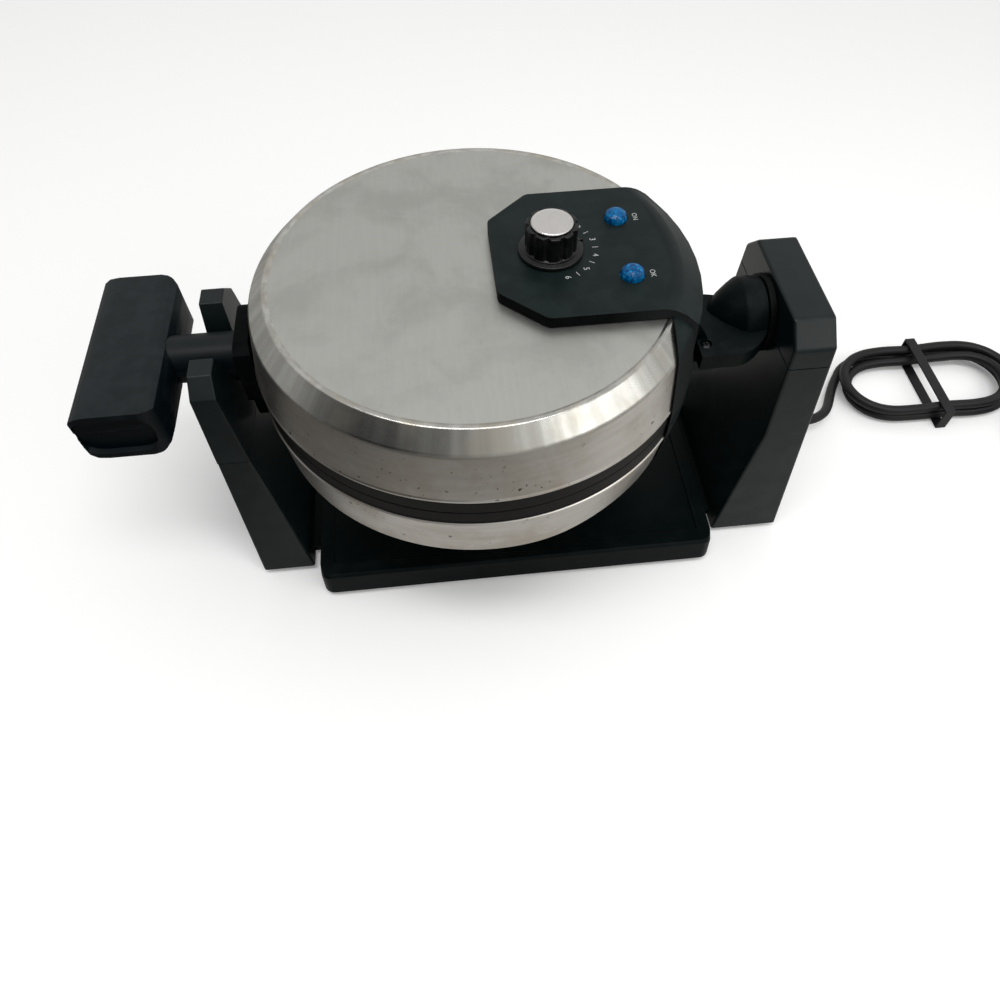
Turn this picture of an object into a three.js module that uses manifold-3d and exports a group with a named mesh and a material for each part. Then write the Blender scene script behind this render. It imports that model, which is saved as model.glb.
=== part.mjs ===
// Rotating waffle maker: a round two-plate cooker that turns over on a stand
// Millimetres, +Z up. The cooker turns about an axis along X; the handle points to -X.
import * as THREE from "three";
import { mergeVertices } from "three/addons/utils/BufferGeometryUtils.js";
import Module from "manifold-3d";

const wasm = await Module();
wasm.setup();

// Sizes that every piece shares
const gap = 0.3; // space left between pieces that touch
const runningGap = 0.6; // space round a piece that turns or slides
const overrun = 6; // how far a cut runs past the solid it cuts
const roundSteps = 56; // sides of a large round piece
const shaftSteps = 28; // sides of a shaft or drum
const screwSteps = 14; // sides of a screw or foot

// Steel covers: the size that the rest of the cooker follows. Heights are from the middle plane.
const cover = {
  radius: 111.8, // lower edge of the steel side wall
  shoulderInset: 4.3,
  topInset: 12.8, // flat top
  height: 44.2,
  shoulderDrop: 8.5, // from the flat top to the foot of the chamfer
  edgeHeight: 8.6,
  sheet: 1,
  corner: 2.2, // soft corner where two faces meet
};
const rimInset = 0.5;
const rim = {
  radius: cover.radius - rimInset,
  width: 11,
  seam: 0.15,
  trimWidth: 2.7, // cut back this far behind the side housing
  hingeRelief: 0.8,
};
const plate = {
  radius: rim.radius - rim.width - 2 * gap,
  thickness: 3,
  pocketDepth: 10, // height of the studs that press the pockets
  studTip: 2.6, // stud tips from the middle plane
  lip: 0.5, // rim of the plate from the middle plane
  lipWidth: 4.5,
  studPitch: 21,
  studFoot: 12,
  studTop: 9,
  rows: 8,
};
const element = { inset: 27.7, tube: 8 };
const terminalAngle = 50; // degrees of the heater's circle left for its two terminals

// Black side housings and the control panel that is one with the upper one
const housing = {
  proud: 7.5, // outer face above the steel's flat top
  topInset: 14.2,
  shoulderInset: 1.5,
  shoulderDrop: 12.7,
  wall: 2.4,
  halfWidth: 45.3,
  wingInset: 24.8, // the housing replaces the steel beyond this plane
  wingProud: 1.1, // wings stand this much out of the steel
  seam: 1.2, // lower edge of the upper housing, clear of its swing about the hinge pin
  lowerSeam: 0.3,
  lipDepth: 9, // flat lip of the lower housing under the steel
};
// Places on the panel run in from the cover's edge on the hinge side
const panel = { inset: 101.6, leftHalf: 26, cornerInset: 80.6 };
const panelLeftX = cover.radius - panel.inset;
const panelCornerX = cover.radius - panel.cornerInset;

// Hinge of the lid, inside the side housing
const hinge = {
  inset: 6.3,
  height: 20,
  pinRadius: 1.8,
  eyeRadius: 5,
  lugY: 19,
  lugWidth: 4.4,
  lugReach: 6,
  throat: 1.8, // clear of the housing wall beside the eye
  eyeFromAngle: -20,
  eyeToAngle: 207,
};
const lugWaistShare = 1.7; // of the eye's radius, from the pin down to the waist of the lug
const hingeSlotRise = 13; // slots above the pin that let the housing swing past the two lugs

// Hub: a flat bracket that swells into a drum, and the journal that the cooker turns on.
// Lengths run out from the bracket's inner edge.
const hub = {
  innerX: cover.radius + gap,
  top: 5,
  bottom: -3.6,
  halfWidth: 34,
  farHalf: 24, // the far side is narrower and falls away to the drum
  bend: 17.9,
  drum: 28.9,
  length: 37.9,
  drumRadius: 20,
  endRadius: 19,
  nose: 9.9,
  noseRadius: 4,
  screw: 4.1,
  screwY: -24.7,
  farScrewY: 11.2,
  farEdge: 6, // where the far side starts to fall away, and where it ends
  farWaist: 11,
  farWaistHalf: 12,
};
// Swell of the drum: [share of its radius, share of the way from the nose to the drum]
const bellShares = [
  [0.4, 0.18],
  [0.78, 0.5],
  [0.97, 0.84],
];
const hubScrew = { head: 2.9, headHeight: 2, shank: 1.8, length: 13 };
const journal = { radius: 9, bore: 4.4, socket: 5, length: 16 };
const washer = { radius: 20.3, width: 3.6 };
const bush = { radius: 12, length: 6, flange: 14, flangeWidth: 1.5 };
const stopCollar = { radius: 12.5, width: 4, reach: 17.5, tabWidth: 8 };

// Two posts and the tray that joins them. The posts lift the cooker so that it clears the tray as it turns.
const tray = {
  postGap: 6.2,
  halfWidth: 75,
  bottom: 4.5,
  top: 20,
  turnClearance: 1.2,
  batter: 3.5, // how far the long sides lean in
  dish: 1.2, // the top is very slightly sunk inside its border
  border: 8,
  wall: 3,
  tongueTop: 9,
  tongueHalf: 44,
  corner: 24,
  edge: 1.5,
};
const axisHeight = tray.top + tray.turnClearance + cover.radius; // turning axis above the table
const foot = { radius: 7, neck: 4, neckLength: 3, insetX: 9, insetY: 10 };
const rearPost = {
  innerX: hub.innerX + hub.length + washer.width + 3 * gap,
  footLean: 14.1, // how far the foot comes forward of the face at the drum
  kneeDrop: 47, // below the axis
  topDepth: 21.7,
  footDepth: 27.1,
  rise: 22.8, // top above the axis
  topHalf: 30.7,
  chamferHalf: 42,
  chamferRise: 11.8,
  footHalf: 55,
  wall: 3,
};
const rearPostTopX = rearPost.innerX + rearPost.topDepth;
const rearPostFrontX = rearPost.innerX - rearPost.footLean;
const rearPostFootX = rearPost.innerX + rearPost.footDepth;
const frontPost = {
  standOff: 15.6, // fork's inner face from the cooker's edge
  depth: 11.8,
  midLean: 5.4, // how far the inner face comes forward lower down
  footLean: 19.4,
  midDrop: 33,
  rise: 18,
  topHalf: 30.7,
  slotHalf: 19.65,
  chamferHalf: 40,
  chamferRise: 10,
  footHalf: 55,
  wall: 3,
};
const forkInnerX = -cover.radius - frontPost.standOff;
const frontPostOuterX = forkInnerX - frontPost.depth;
const frontPostFootX = forkInnerX + frontPost.footLean;
const frontPostMidHeight = axisHeight - frontPost.midDrop;
const fork = { nubRadius: 2.6, nubProud: 1.2, nubDepth: 9 };
const rearPostTop = axisHeight + rearPost.rise;
const frontPostTop = axisHeight + frontPost.rise;
const trayLeftX = frontPostFootX + tray.postGap;
const trayRightX = rearPostFrontX - tray.postGap;

// Handle: two half-round arms with shields at the cooker and grip shells across their ends
const arm = { radius: 12.25, inGrip: 26 };
const shield = {
  thickness: 6.8,
  halfWidth: 21,
  height: 19,
  corner: 10,
  lowerHeight: 14,
  tongueHalf: 14,
  tongueHeight: 36,
};
const grip = {
  standOff: 12.8, // from the fork
  width: 44,
  halfHeight: 15,
  halfLength: 49,
  endInset: 5.5, // how far the ends are drawn in on the cooker's side
  recessDepth: 3.4,
  recessWall: 3.2,
  roundness: 11,
};
const gripInnerX = frontPostOuterX - grip.standOff;
const gripOuterX = gripInnerX - grip.width;
const armOuterX = gripInnerX - arm.inGrip;

// Control parts in the lid
const knob = {
  inset: 73.8,
  skirtRadius: 15.5,
  skirtHeight: 2.4,
  bodyRadius: 12.2,
  bodyHeight: 10.6,
  capRadius: 9.8,
  capHeight: 1,
  fluteDepth: 1.5,
  flutes: 10,
  pointerLength: 2.2,
  restAngle: 13.4, // the pointer at rest, at number 3
};
const knobX = cover.radius - knob.inset;
const spindle = { radius: 3, depth: 12, grip: 8 };
const thermostat = { length: 26, width: 20, height: 12 };
const contactArm = { length: 20, width: 5, sheet: 0.6, post: 3, rise: 3.4, pivot: 1.4 };
const lens = { inset: 38.8, y: 21, radius: 5.65, proud: 3.6, flange: 0.7, sides: 10 };
const lensX = cover.radius - lens.inset;
// Facets of a jewel: [share of its radius, share of its height]
const jewelShares = [
  [1, 0.25],
  [0.78, 0.66],
  [0.45, 0.95],
];
const lamp = { radius: 1.8, height: 1.7 };
const board = { length: 24, halfWidth: 30, thickness: 1.6 };

// Mains lead
const cord = { diameter: 6.5, reach: 34, approach: 30 };
const hank = {
  x: 321, // middle of the hank
  y: 46,
  run: 28, // half the distance between the centres of its two ends
  radius: 34,
  pitch: 7.9, // how much each loop winds in
  blend: 0.35,
  waist: 0.1, // share that the tie draws the loops in
  startAngle: 155,
  turns: 2,
  climb: 0.25, // share of a loop either side of the middle in which the cord climbs
  tail: 36,
};
const tie = { width: 7, sheet: 1.1, slack: 0.5 };
const boot = { y: 16, height: 14, length: 30, radius: 7, tip: 4.3, neck: 4.6, flange: 9, flangeWidth: 2 };
const plug = {
  length: 34,
  width: 24,
  height: 18,
  taper: 8,
  bladeLength: 17,
  bladeWidth: 6.3,
  blade: 1.5,
  bladeSpan: 12.7,
};

// The model's origin is under the middle of the object's box
const middleX = (gripOuterX + rearPostFootX) / 2;

// Heights and radii worked out from the sizes above
const coverTopRadius = cover.radius - cover.topInset;
const coverShoulderRadius = cover.radius - cover.shoulderInset;
const coverShoulderHeight = cover.height - cover.shoulderDrop;
const rimBore = rim.radius - rim.width;
const rimTrimRadius = rim.radius - rim.trimWidth;
const housingTop = cover.height + housing.proud;
const housingTopRadius = cover.radius - housing.topInset;
const wingX = cover.radius - housing.wingInset;
const hingeX = rim.radius - hinge.inset;
const hingeSlotTop = hinge.height + hingeSlotRise;
const hubDrumX = hub.innerX + hub.drum;
const hubEndX = hub.innerX + hub.length;
const hubNoseX = hub.innerX + hub.nose;
const hubBendX = hub.innerX + hub.bend;
const hubScrewX = hub.innerX + hub.screw;
const shieldInnerX = -cover.radius - gap;
const shieldOuterX = shieldInnerX - shield.thickness;

// A closed three.js surface with its shared points merged and its faces pointing out
function closed(geometry) {
  const bare = geometry.clone();
  bare.deleteAttribute("normal");
  bare.deleteAttribute("uv");
  const merged = mergeVertices(bare, 1e-4);
  const place = merged.attributes.position.array;
  const faces = [];
  let volume = 0;
  for (let i = 0; i < merged.index.count; i += 3) {
    const [a, b, c] = merged.index.array.subarray(i, i + 3);
    if (a === b || b === c || c === a) continue;
    faces.push(a, b, c);
    const [p, q, r] = [a, b, c].map((n) => new THREE.Vector3().fromArray(place, n * 3));
    volume += p.dot(q.cross(r));
  }
  if (volume < 0) faces.reverse();
  return { numProp: 3, vertProperties: new Float32Array(place), triVerts: new Uint32Array(faces) };
}

const asSolid = (geometry) => new wasm.Manifold(new wasm.Mesh(closed(geometry)));

function asGeometry(body) {
  const mesh = body.getMesh();
  const geometry = new THREE.BufferGeometry();
  geometry.setAttribute("position", new THREE.BufferAttribute(new Float32Array(mesh.vertProperties), 3));
  geometry.setIndex(new THREE.BufferAttribute(new Uint32Array(mesh.triVerts), 1));
  return geometry;
}

const joined = (first, ...rest) => asGeometry(rest.reduce((sum, g) => sum.add(asSolid(g)), asSolid(first)));
const cut = (first, ...rest) =>
  asGeometry(rest.reduce((left, g) => left.subtract(asSolid(g)), asSolid(first)));
const shared = (first, second) => asGeometry(asSolid(first).intersect(asSolid(second)));
const moved = (geometry, x, y, z) => geometry.clone().translate(x, y, z);
const turnedOver = (geometry) => geometry.clone().rotateX(Math.PI);

// An outline drawn across one axis and carried along it. "z" takes (x, y), "x" takes (y, z), "y" takes (x, z)
function prism(outline, along, from, to) {
  const isShape = outline instanceof THREE.Shape;
  const shape = isShape ? outline : new THREE.Shape(outline.map(([u, v]) => new THREE.Vector2(u, v)));
  const depth = Math.abs(to - from);
  const low = Math.min(from, to);
  const geometry = new THREE.ExtrudeGeometry(shape, { depth, bevelEnabled: false, curveSegments: 8 });
  const turn = new THREE.Matrix4();
  if (along === "x") turn.set(0, 0, 1, low, 1, 0, 0, 0, 0, 1, 0, 0, 0, 0, 0, 1);
  if (along === "y") turn.set(1, 0, 0, 0, 0, 0, -1, low + depth, 0, 1, 0, 0, 0, 0, 0, 1);
  if (along === "z") turn.makeTranslation(0, 0, low);
  return geometry.applyMatrix4(turn);
}

const block = ([x1, x2], [y1, y2], [z1, z2]) =>
  moved(
    new THREE.BoxGeometry(Math.abs(x2 - x1), Math.abs(y2 - y1), Math.abs(z2 - z1)),
    (x1 + x2) / 2,
    (y1 + y2) / 2,
    (z1 + z2) / 2,
  );

// A turned piece from [radius, height] points, about z, x or y
function turned(profile, axis = "z", sides = roundSteps) {
  const points = profile.map(([radius, height]) => new THREE.Vector2(radius, height));
  if (profile[0][0] > 0) points.push(points[0].clone());
  const geometry = new THREE.LatheGeometry(points, sides);
  if (axis === "z") geometry.rotateX(Math.PI / 2);
  if (axis === "x") geometry.rotateZ(-Math.PI / 2);
  return geometry;
}

const rod = (radius, axis, from, to, sides = shaftSteps) =>
  turned([[0, from], [radius, from], [radius, to], [0, to]], axis, sides);

// Points with every corner but the first and the last drawn round
function softened(points, size, steps = 2) {
  const out = [points[0]];
  for (let i = 1; i < points.length - 1; i++) {
    const here = new THREE.Vector2(...points[i]);
    const before = new THREE.Vector2(...points[i - 1]);
    const after = new THREE.Vector2(...points[i + 1]);
    const reach = Math.min(size, here.distanceTo(before) * 0.45, here.distanceTo(after) * 0.45);
    const start = here.clone().lerp(before, reach / here.distanceTo(before));
    const end = here.clone().lerp(after, reach / here.distanceTo(after));
    const bend = new THREE.QuadraticBezierCurve(start, here, end);
    for (const p of bend.getPoints(steps)) out.push([p.x, p.y]);
  }
  out.push(points[points.length - 1]);
  return out;
}

// A closed outline with all its corners drawn round
function softLoop(points, size, steps = 3) {
  const wrapped = [points[points.length - 1], ...points, points[0]];
  return softened(wrapped, size, steps).slice(1, -1);
}

const mirrored = (points) => [...points, ...points.toReversed().map(([u, v]) => [-u, v])];

// Colours and finishes
const material = (color, roughness, metalness = 0) =>
  new THREE.MeshStandardMaterial({ color, roughness, metalness });
const steel = material(0xb4b1aa, 0.35, 1);
const wire = material(0x8c8c88, 0.4, 1);
const castPlate = material(0x33322f, 0.45, 0.3);
const blackPlastic = material(0x23282a, 0.55);
const rimPlastic = material(0x1b1817, 0.6);
const glossBlack = material(0x0d0d0e, 0.2);
const silverCap = material(0xc9c7c2, 0.35, 0.8);
const blueJewel = material(0x0a62b8, 0.1);
const nylon = material(0x4a5050, 0.5);
const rubber = material(0x161616, 0.85);
const circuit = material(0x2f6b3a, 0.6);
const phenolic = material(0x4b382a, 0.7);
const nickel = material(0xc8c4b8, 0.3, 1);

const model = new THREE.Group();
model.position.x = -middleX;
const stand = new THREE.Group();
const cooker = new THREE.Group();
cooker.position.z = axisHeight;
const lid = new THREE.Group();
const controls = new THREE.Group();
controls.position.x = knobX;
model.add(stand, cooker);
cooker.add(lid);
lid.add(controls);

function place(group, name, geometry, finish) {
  const mesh = new THREE.Mesh(geometry, finish);
  mesh.name = name;
  group.add(mesh);
}

// Steel covers: the outer faces of the upper one, and the same faces moved out or in
const coverFaces = (out) => [
  [0, cover.height + out],
  [coverTopRadius + out, cover.height + out],
  [coverShoulderRadius + out, coverShoulderHeight + out],
  [cover.radius + out, cover.edgeHeight],
];
const coverSolid = (out, base) =>
  turned([...softened(coverFaces(out), cover.corner), [cover.radius + out, base], [0, base]]);

const beyondWing = block(
  [wingX + cover.sheet, cover.radius + overrun],
  [-cover.radius - overrun, cover.radius + overrun],
  [-overrun, cover.height + overrun],
);
const coverShell = cut(
  cut(coverSolid(0, cover.edgeHeight), coverSolid(-cover.sheet, cover.edgeHeight - overrun)),
  beyondWing,
);

// The heater's leads and the lamp wires pass through one slot under the panel
const spindleHole = spindle.radius + runningGap;
const wireSlot = { x: lensX, halfLength: board.length / 4, halfWidth: board.length / 6 };
const upperCover = cut(
  coverShell,
  rod(spindleHole, "z", coverShoulderHeight, cover.height + overrun).translate(knobX, 0, 0),
  block(
    [wireSlot.x - wireSlot.halfLength, wireSlot.x + wireSlot.halfLength],
    [-wireSlot.halfWidth, wireSlot.halfWidth],
    [coverShoulderHeight, cover.height + overrun],
  ),
);
place(lid, "upper_cover", upperCover, steel);
place(cooker, "lower_cover", turnedOver(coverShell), steel);

// Black rims that meet at the middle plane; each carries its steel cover and is cut back at the housing
const rimTop = cover.edgeHeight - gap;
const rimSeat = rimTop + cover.sheet * 3; // upstand inside the steel wall
const wallInside = cover.radius - cover.sheet - 2 * gap;
const rimRing = turned([
  [rimBore, rim.seam],
  [rim.radius, rim.seam],
  [rim.radius, rimTop],
  [wallInside, rimTop],
  [wallInside - gap, rimSeat],
  [rimBore, rimSeat],
]);
const rimTrim = cut(
  rod(rim.radius + overrun, "z", -overrun, rimSeat + overrun, roundSteps),
  rod(rimTrimRadius, "z", -2 * overrun, rimSeat + 2 * overrun, roundSteps),
  block([-2 * cover.radius, wingX - gap], [-cover.radius * 2, cover.radius * 2], [
    -2 * overrun,
    rimSeat + 2 * overrun,
  ]),
);
const trimmedRim = cut(rimRing, rimTrim);
const swingRelief = block(
  [hingeX - 1.5 * gap, rim.radius + overrun],
  [-rim.radius, rim.radius],
  [-overrun, rim.hingeRelief],
);
place(lid, "upper_rim", cut(trimmedRim, swingRelief), rimPlastic);
place(cooker, "lower_rim", turnedOver(trimmedRim), rimPlastic);

// Grid plates: a dish with rows of tapered studs, which press the pockets into the waffle
const plateFloor = plate.studTip + plate.pocketDepth;
const plateBack = plateFloor + plate.thickness;
const cavityRadius = plate.radius - plate.lipWidth;
const dish = turned([
  [0, plateBack],
  [plate.radius, plateBack],
  [plate.radius, plate.lip],
  [cavityRadius, plate.lip],
  [cavityRadius - plate.thickness / 2, plateFloor],
  [0, plateFloor],
]);

function stud(x, y) {
  const footHalf = plate.studFoot / 2;
  const topHalf = plate.studTop / 2;
  const geometry = new THREE.CylinderGeometry(
    footHalf * Math.SQRT2,
    topHalf * Math.SQRT2,
    plate.pocketDepth + plate.thickness / 2,
    4,
  );
  geometry.rotateY(Math.PI / 4).rotateX(Math.PI / 2);
  return geometry.translate(x, y, plate.studTip + (plate.pocketDepth + plate.thickness / 2) / 2);
}

const studMarginShare = 0.8; // of a stud's foot, kept between a stud and the wall
function gridPlate() {
  const studs = [];
  for (let i = 0; i < plate.rows; i++) {
    for (let j = 0; j < plate.rows; j++) {
      const x = (i - (plate.rows - 1) / 2) * plate.studPitch;
      const y = (j - (plate.rows - 1) / 2) * plate.studPitch;
      const clear = Math.hypot(x, y) + plate.studFoot * studMarginShare < cavityRadius - plate.thickness / 2;
      if (clear) studs.push(stud(x, y));
    }
  }
  const ridgeHalf = plate.thickness / 2;
  const ridgeSpan = [plate.studTip, plateBack - ridgeHalf];
  const ridges = [0, Math.PI / 2].map((angle) =>
    block([-cavityRadius, cavityRadius], [-ridgeHalf, ridgeHalf], ridgeSpan).rotateZ(angle),
  );
  return joined(dish, ...ridges, ...studs);
}
const plateGeometry = gridPlate();
place(lid, "upper_grid_plate", plateGeometry, castPlate);
place(cooker, "lower_grid_plate", turnedOver(plateGeometry), castPlate);

// A round tube along a curve, with flat ends
function tube(curve, diameter, sides, steps) {
  const section = new THREE.Shape();
  for (let i = 0; i < sides; i++) {
    const angle = ((i + 0.5) / sides) * 2 * Math.PI;
    const u = (Math.cos(angle) * diameter) / 2;
    const v = (Math.sin(angle) * diameter) / 2;
    if (i === 0) section.moveTo(u, v);
    else section.lineTo(u, v);
  }
  section.closePath();
  return new THREE.ExtrudeGeometry(section, { steps, bevelEnabled: false, extrudePath: curve });
}

// Tubular heaters, clipped to the backs of the plates
const elementRadius = plate.radius - element.inset;
class ElementLoop extends THREE.Curve {
  getPoint(t, target = new THREE.Vector3()) {
    const angle = THREE.MathUtils.degToRad(terminalAngle / 2 + t * (360 - terminalAngle));
    return target.set(elementRadius * Math.cos(angle), elementRadius * Math.sin(angle), 0);
  }
}
const heaterHeight = plateBack + gap + element.tube / 2;
const heater = tube(new ElementLoop(), element.tube, 8, 30).translate(0, 0, heaterHeight);
place(lid, "upper_heating_element", heater, wire);
place(cooker, "lower_heating_element", turnedOver(heater), wire);

// Side housings: the middle part stands proud with a wide chamfer, its wings follow the steel
const housingFaces = (inward) => [
  [0, housingTop - inward],
  [housingTopRadius - inward, housingTop - inward],
  [cover.radius - housing.shoulderInset - inward, housingTop - housing.shoulderDrop - inward / 2],
  [cover.radius - inward, 0],
];
const middleBand = (solid, half, fromX) =>
  shared(
    solid,
    block([fromX, cover.radius * 2], [-half, half], [-overrun, housingTop + overrun]),
  );
const proudSolid = (inward, base) =>
  turned([...housingFaces(inward).slice(0, 3), ...housingFoot(inward, base)]);
function housingFoot(inward, base) {
  return [
    [cover.radius - inward, base],
    [0, base],
  ];
}
const wingSpan = cover.radius * 2;
const betweenWings = block(
  [-wingSpan, wingSpan],
  [gap - housing.halfWidth, housing.halfWidth - gap],
  [-wingSpan, wingSpan],
);
const housingOuter = (fromX, base) =>
  joined(
    middleBand(proudSolid(0, base), housing.halfWidth, fromX),
    cut(middleBand(coverSolid(housing.wingProud, base), wingSpan, wingX), betweenWings),
  );
// Inside, the housing is hollow beyond the steel's cut edge and clears the steel before it
const steelEdgeX = wingX + cover.sheet + gap;
const housingHollow = joined(
  middleBand(proudSolid(housing.wall, -overrun), housing.halfWidth - housing.wall, steelEdgeX),
  middleBand(coverSolid(housing.wingProud - housing.wall, -overrun), wingSpan, steelEdgeX),
  shared(
    coverSolid(gap, -overrun),
    block([-wingSpan, steelEdgeX + gap], [-wingSpan, wingSpan], [-2 * overrun, cover.height + overrun]),
  ),
);
const coverTop = cover.height + gap;

// Slots for the two hinge lugs, which stay with the lower half
const lugSlotHalf = hinge.lugWidth / 2 + runningGap;
const lugSlot = (side) =>
  block(
    [hingeX - 2 * hinge.eyeRadius, cover.radius + overrun],
    [side * hinge.lugY - lugSlotHalf, side * hinge.lugY + lugSlotHalf],
    [-overrun, hingeSlotTop],
  );

// Room inside the wall for the pin and the lid's own bracket
const bracketReach = hinge.pinRadius + 4 * gap;
const hingeRoom = block(
  [hingeX - 2 * hinge.eyeRadius, hingeX + bracketReach + gap],
  [-hinge.lugY, hinge.lugY],
  [-overrun, hingeSlotTop],
);

function controlPanel() {
  const outline = [
    [panelLeftX, -panel.leftHalf],
    [panelCornerX, -housing.halfWidth],
    [housingTopRadius, -housing.halfWidth],
    [housingTopRadius, housing.halfWidth],
    [panelCornerX, housing.halfWidth],
    [panelLeftX, panel.leftHalf],
  ];
  const top = shared(
    prism(softLoop(outline, cover.corner), "z", coverTop, housingTop),
    proudSolid(0, 0),
  );
  const inside = outline.map(([x, y]) => [
    x + (x < wingX ? housing.wall : -housing.wall),
    y - Math.sign(y) * housing.wall,
  ]);
  const hollow = shared(
    prism(inside, "z", coverTop - overrun, housingTop - housing.wall),
    proudSolid(housing.wall, 0),
  );
  const body = cut(
    joined(top, cut(housingOuter(wingX, housing.seam), housingHollow)),
    hollow,
    hingeRoom,
    lugSlot(1),
    lugSlot(-1),
    rod(spindleHole, "z", coverTop, housingTop + overrun).translate(knobX, 0, 0),
  );
  const holes = [lens.y, -lens.y].map((y) =>
    rod(lens.radius + gap, "z", coverTop, housingTop + overrun).translate(lensX, y, 0),
  );
  return cut(body, ...holes);
}
place(lid, "control_panel", controlPanel(), blackPlastic);

// Lower housing: the same side, a plain lip under it, and a shelf that carries the hub's bracket
const shelf = { depth: 7.5, farInset: 2, nearInset: 6, reach: 9.5 };
function lowerHousing() {
  const shell = cut(housingOuter(wingX, housing.lowerSeam), housingHollow);
  const lip = shared(
    block(
      [wingX - housing.lipDepth, housingTopRadius],
      [-housing.halfWidth, housing.halfWidth],
      [coverTop, housingTop],
    ),
    proudSolid(0, 0),
  );
  const lipHollow = shared(
    block(
      [wingX - housing.lipDepth + housing.wall, housingTopRadius],
      [housing.wall - housing.halfWidth, housing.halfWidth - housing.wall],
      [coverTop - overrun, housingTop - housing.wall],
    ),
    proudSolid(housing.wall, 0),
  );
  const ledgeTop = -hub.bottom + gap;
  const ledge = cut(
    block(
      [cover.radius - housing.wall, hub.innerX + shelf.reach],
      [shelf.farInset - hub.farHalf, hub.halfWidth - shelf.nearInset],
      [ledgeTop, ledgeTop + shelf.depth],
    ),
    proudSolid(housing.wall, -overrun),
  );
  const screwHole = rod(hubScrew.shank + gap, "z", 0, ledgeTop + shelf.depth + overrun, screwSteps);
  const screwHoles = [hub.screwY, hub.farScrewY].map((y) => moved(screwHole, hubScrewX, -y, 0));
  const leadHole = rod(cord.diameter / 2, "x", hingeX, hub.innerX + overrun);
  return cut(joined(cut(joined(shell, lip), lipHollow), ledge), ...screwHoles, leadHole);
}
place(cooker, "lower_side_housing", turnedOver(lowerHousing()), blackPlastic);

const hingePinHole = moved(
  rod(hinge.pinRadius + gap, "y", -hub.halfWidth, hub.halfWidth),
  hingeX,
  0,
  hinge.height,
);

// Hub: bracket and drum in one casting, with two lugs that hold the hinge pin
function hubCasting() {
  const outline = new THREE.Shape();
  outline.moveTo(hub.innerX, -hub.halfWidth);
  outline.lineTo(hubBendX, -hub.halfWidth);
  outline.quadraticCurveTo(hubDrumX, -hub.halfWidth + gap, hubEndX, -hub.endRadius);
  outline.lineTo(hubEndX, hub.endRadius);
  outline.lineTo(hubDrumX, hub.endRadius);
  outline.lineTo(hubBendX, hub.farWaistHalf);
  outline.lineTo(hub.innerX + hub.farWaist, hub.farWaistHalf);
  outline.lineTo(hub.innerX + hub.farEdge, hub.farHalf);
  outline.lineTo(hub.innerX, hub.farHalf);
  outline.closePath();
  const bracket = prism(outline, "z", hub.bottom, hub.top);
  const bell = new THREE.SplineCurve([
    new THREE.Vector2(hub.noseRadius, hubNoseX),
    ...bellShares.map(
      ([wide, along]) => new THREE.Vector2(hub.drumRadius * wide, hubNoseX + (hubDrumX - hubNoseX) * along),
    ),
    new THREE.Vector2(hub.drumRadius, hubDrumX),
    new THREE.Vector2(hub.endRadius, hubEndX),
  ]).getPoints(8);
  const drum = turned([[0, hubNoseX], ...bell.map((p) => [p.x, p.y]), [0, hubEndX]], "x", shaftSteps);
  const lugs = [1, -1].map((side) => {
    const reachX = hub.innerX + hinge.lugReach;
    const shape = new THREE.Shape();
    shape.moveTo(hub.innerX + gap, hub.top - hinge.eyeRadius);
    shape.lineTo(reachX, hub.top - hinge.eyeRadius);
    shape.lineTo(reachX, hub.top);
    shape.lineTo(hub.innerX + hinge.throat, hinge.height - hinge.eyeRadius * lugWaistShare);
    shape.absarc(
      hingeX,
      hinge.height,
      hinge.eyeRadius,
      THREE.MathUtils.degToRad(hinge.eyeFromAngle),
      THREE.MathUtils.degToRad(hinge.eyeToAngle),
      false,
    );
    shape.lineTo(hub.innerX - 2 * runningGap, hinge.height / 2 - 2 * runningGap);
    shape.closePath();
    const middle = side * hinge.lugY;
    return prism(shape, "y", middle - hinge.lugWidth / 2, middle + hinge.lugWidth / 2);
  });
  const screwHole = joined(
    rod(hubScrew.shank + gap, "z", hub.bottom - overrun, hub.top + overrun, screwSteps),
    rod(hubScrew.head + gap, "z", hub.top - hubScrew.headHeight, hub.top + overrun, screwSteps),
  );
  const screwHoles = [hub.screwY, hub.farScrewY].map((y) => moved(screwHole, hubScrewX, y, 0));
  return cut(
    joined(bracket, drum, ...lugs),
    hingePinHole,
    ...screwHoles,
    rod(cord.diameter / 2 + gap, "x", hub.innerX - overrun, hubEndX + overrun, screwSteps),
    rod(journal.radius + gap, "x", hubEndX - journal.socket, hubEndX + overrun),
  );
}
place(cooker, "hub", hubCasting(), blackPlastic);

for (const [name, y] of [["left", hub.farScrewY], ["right", hub.screwY]]) {
  const top = hub.top - hubScrew.headHeight + gap;
  const screw = joined(
    rod(hubScrew.head, "z", top, top + hubScrew.headHeight - 2 * gap, screwSteps),
    rod(hubScrew.shank, "z", top + gap - hubScrew.length, top + gap, screwSteps),
  );
  place(cooker, `hub_screw_${name}`, moved(screw, hubScrewX, y, 0), nickel);
}

const pinHalf = hinge.lugY + hinge.lugWidth / 2 + gap;
place(
  cooker,
  "hinge_pin",
  rod(hinge.pinRadius, "y", -pinHalf, pinHalf).translate(hingeX, 0, hinge.height),
  nickel,
);

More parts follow.
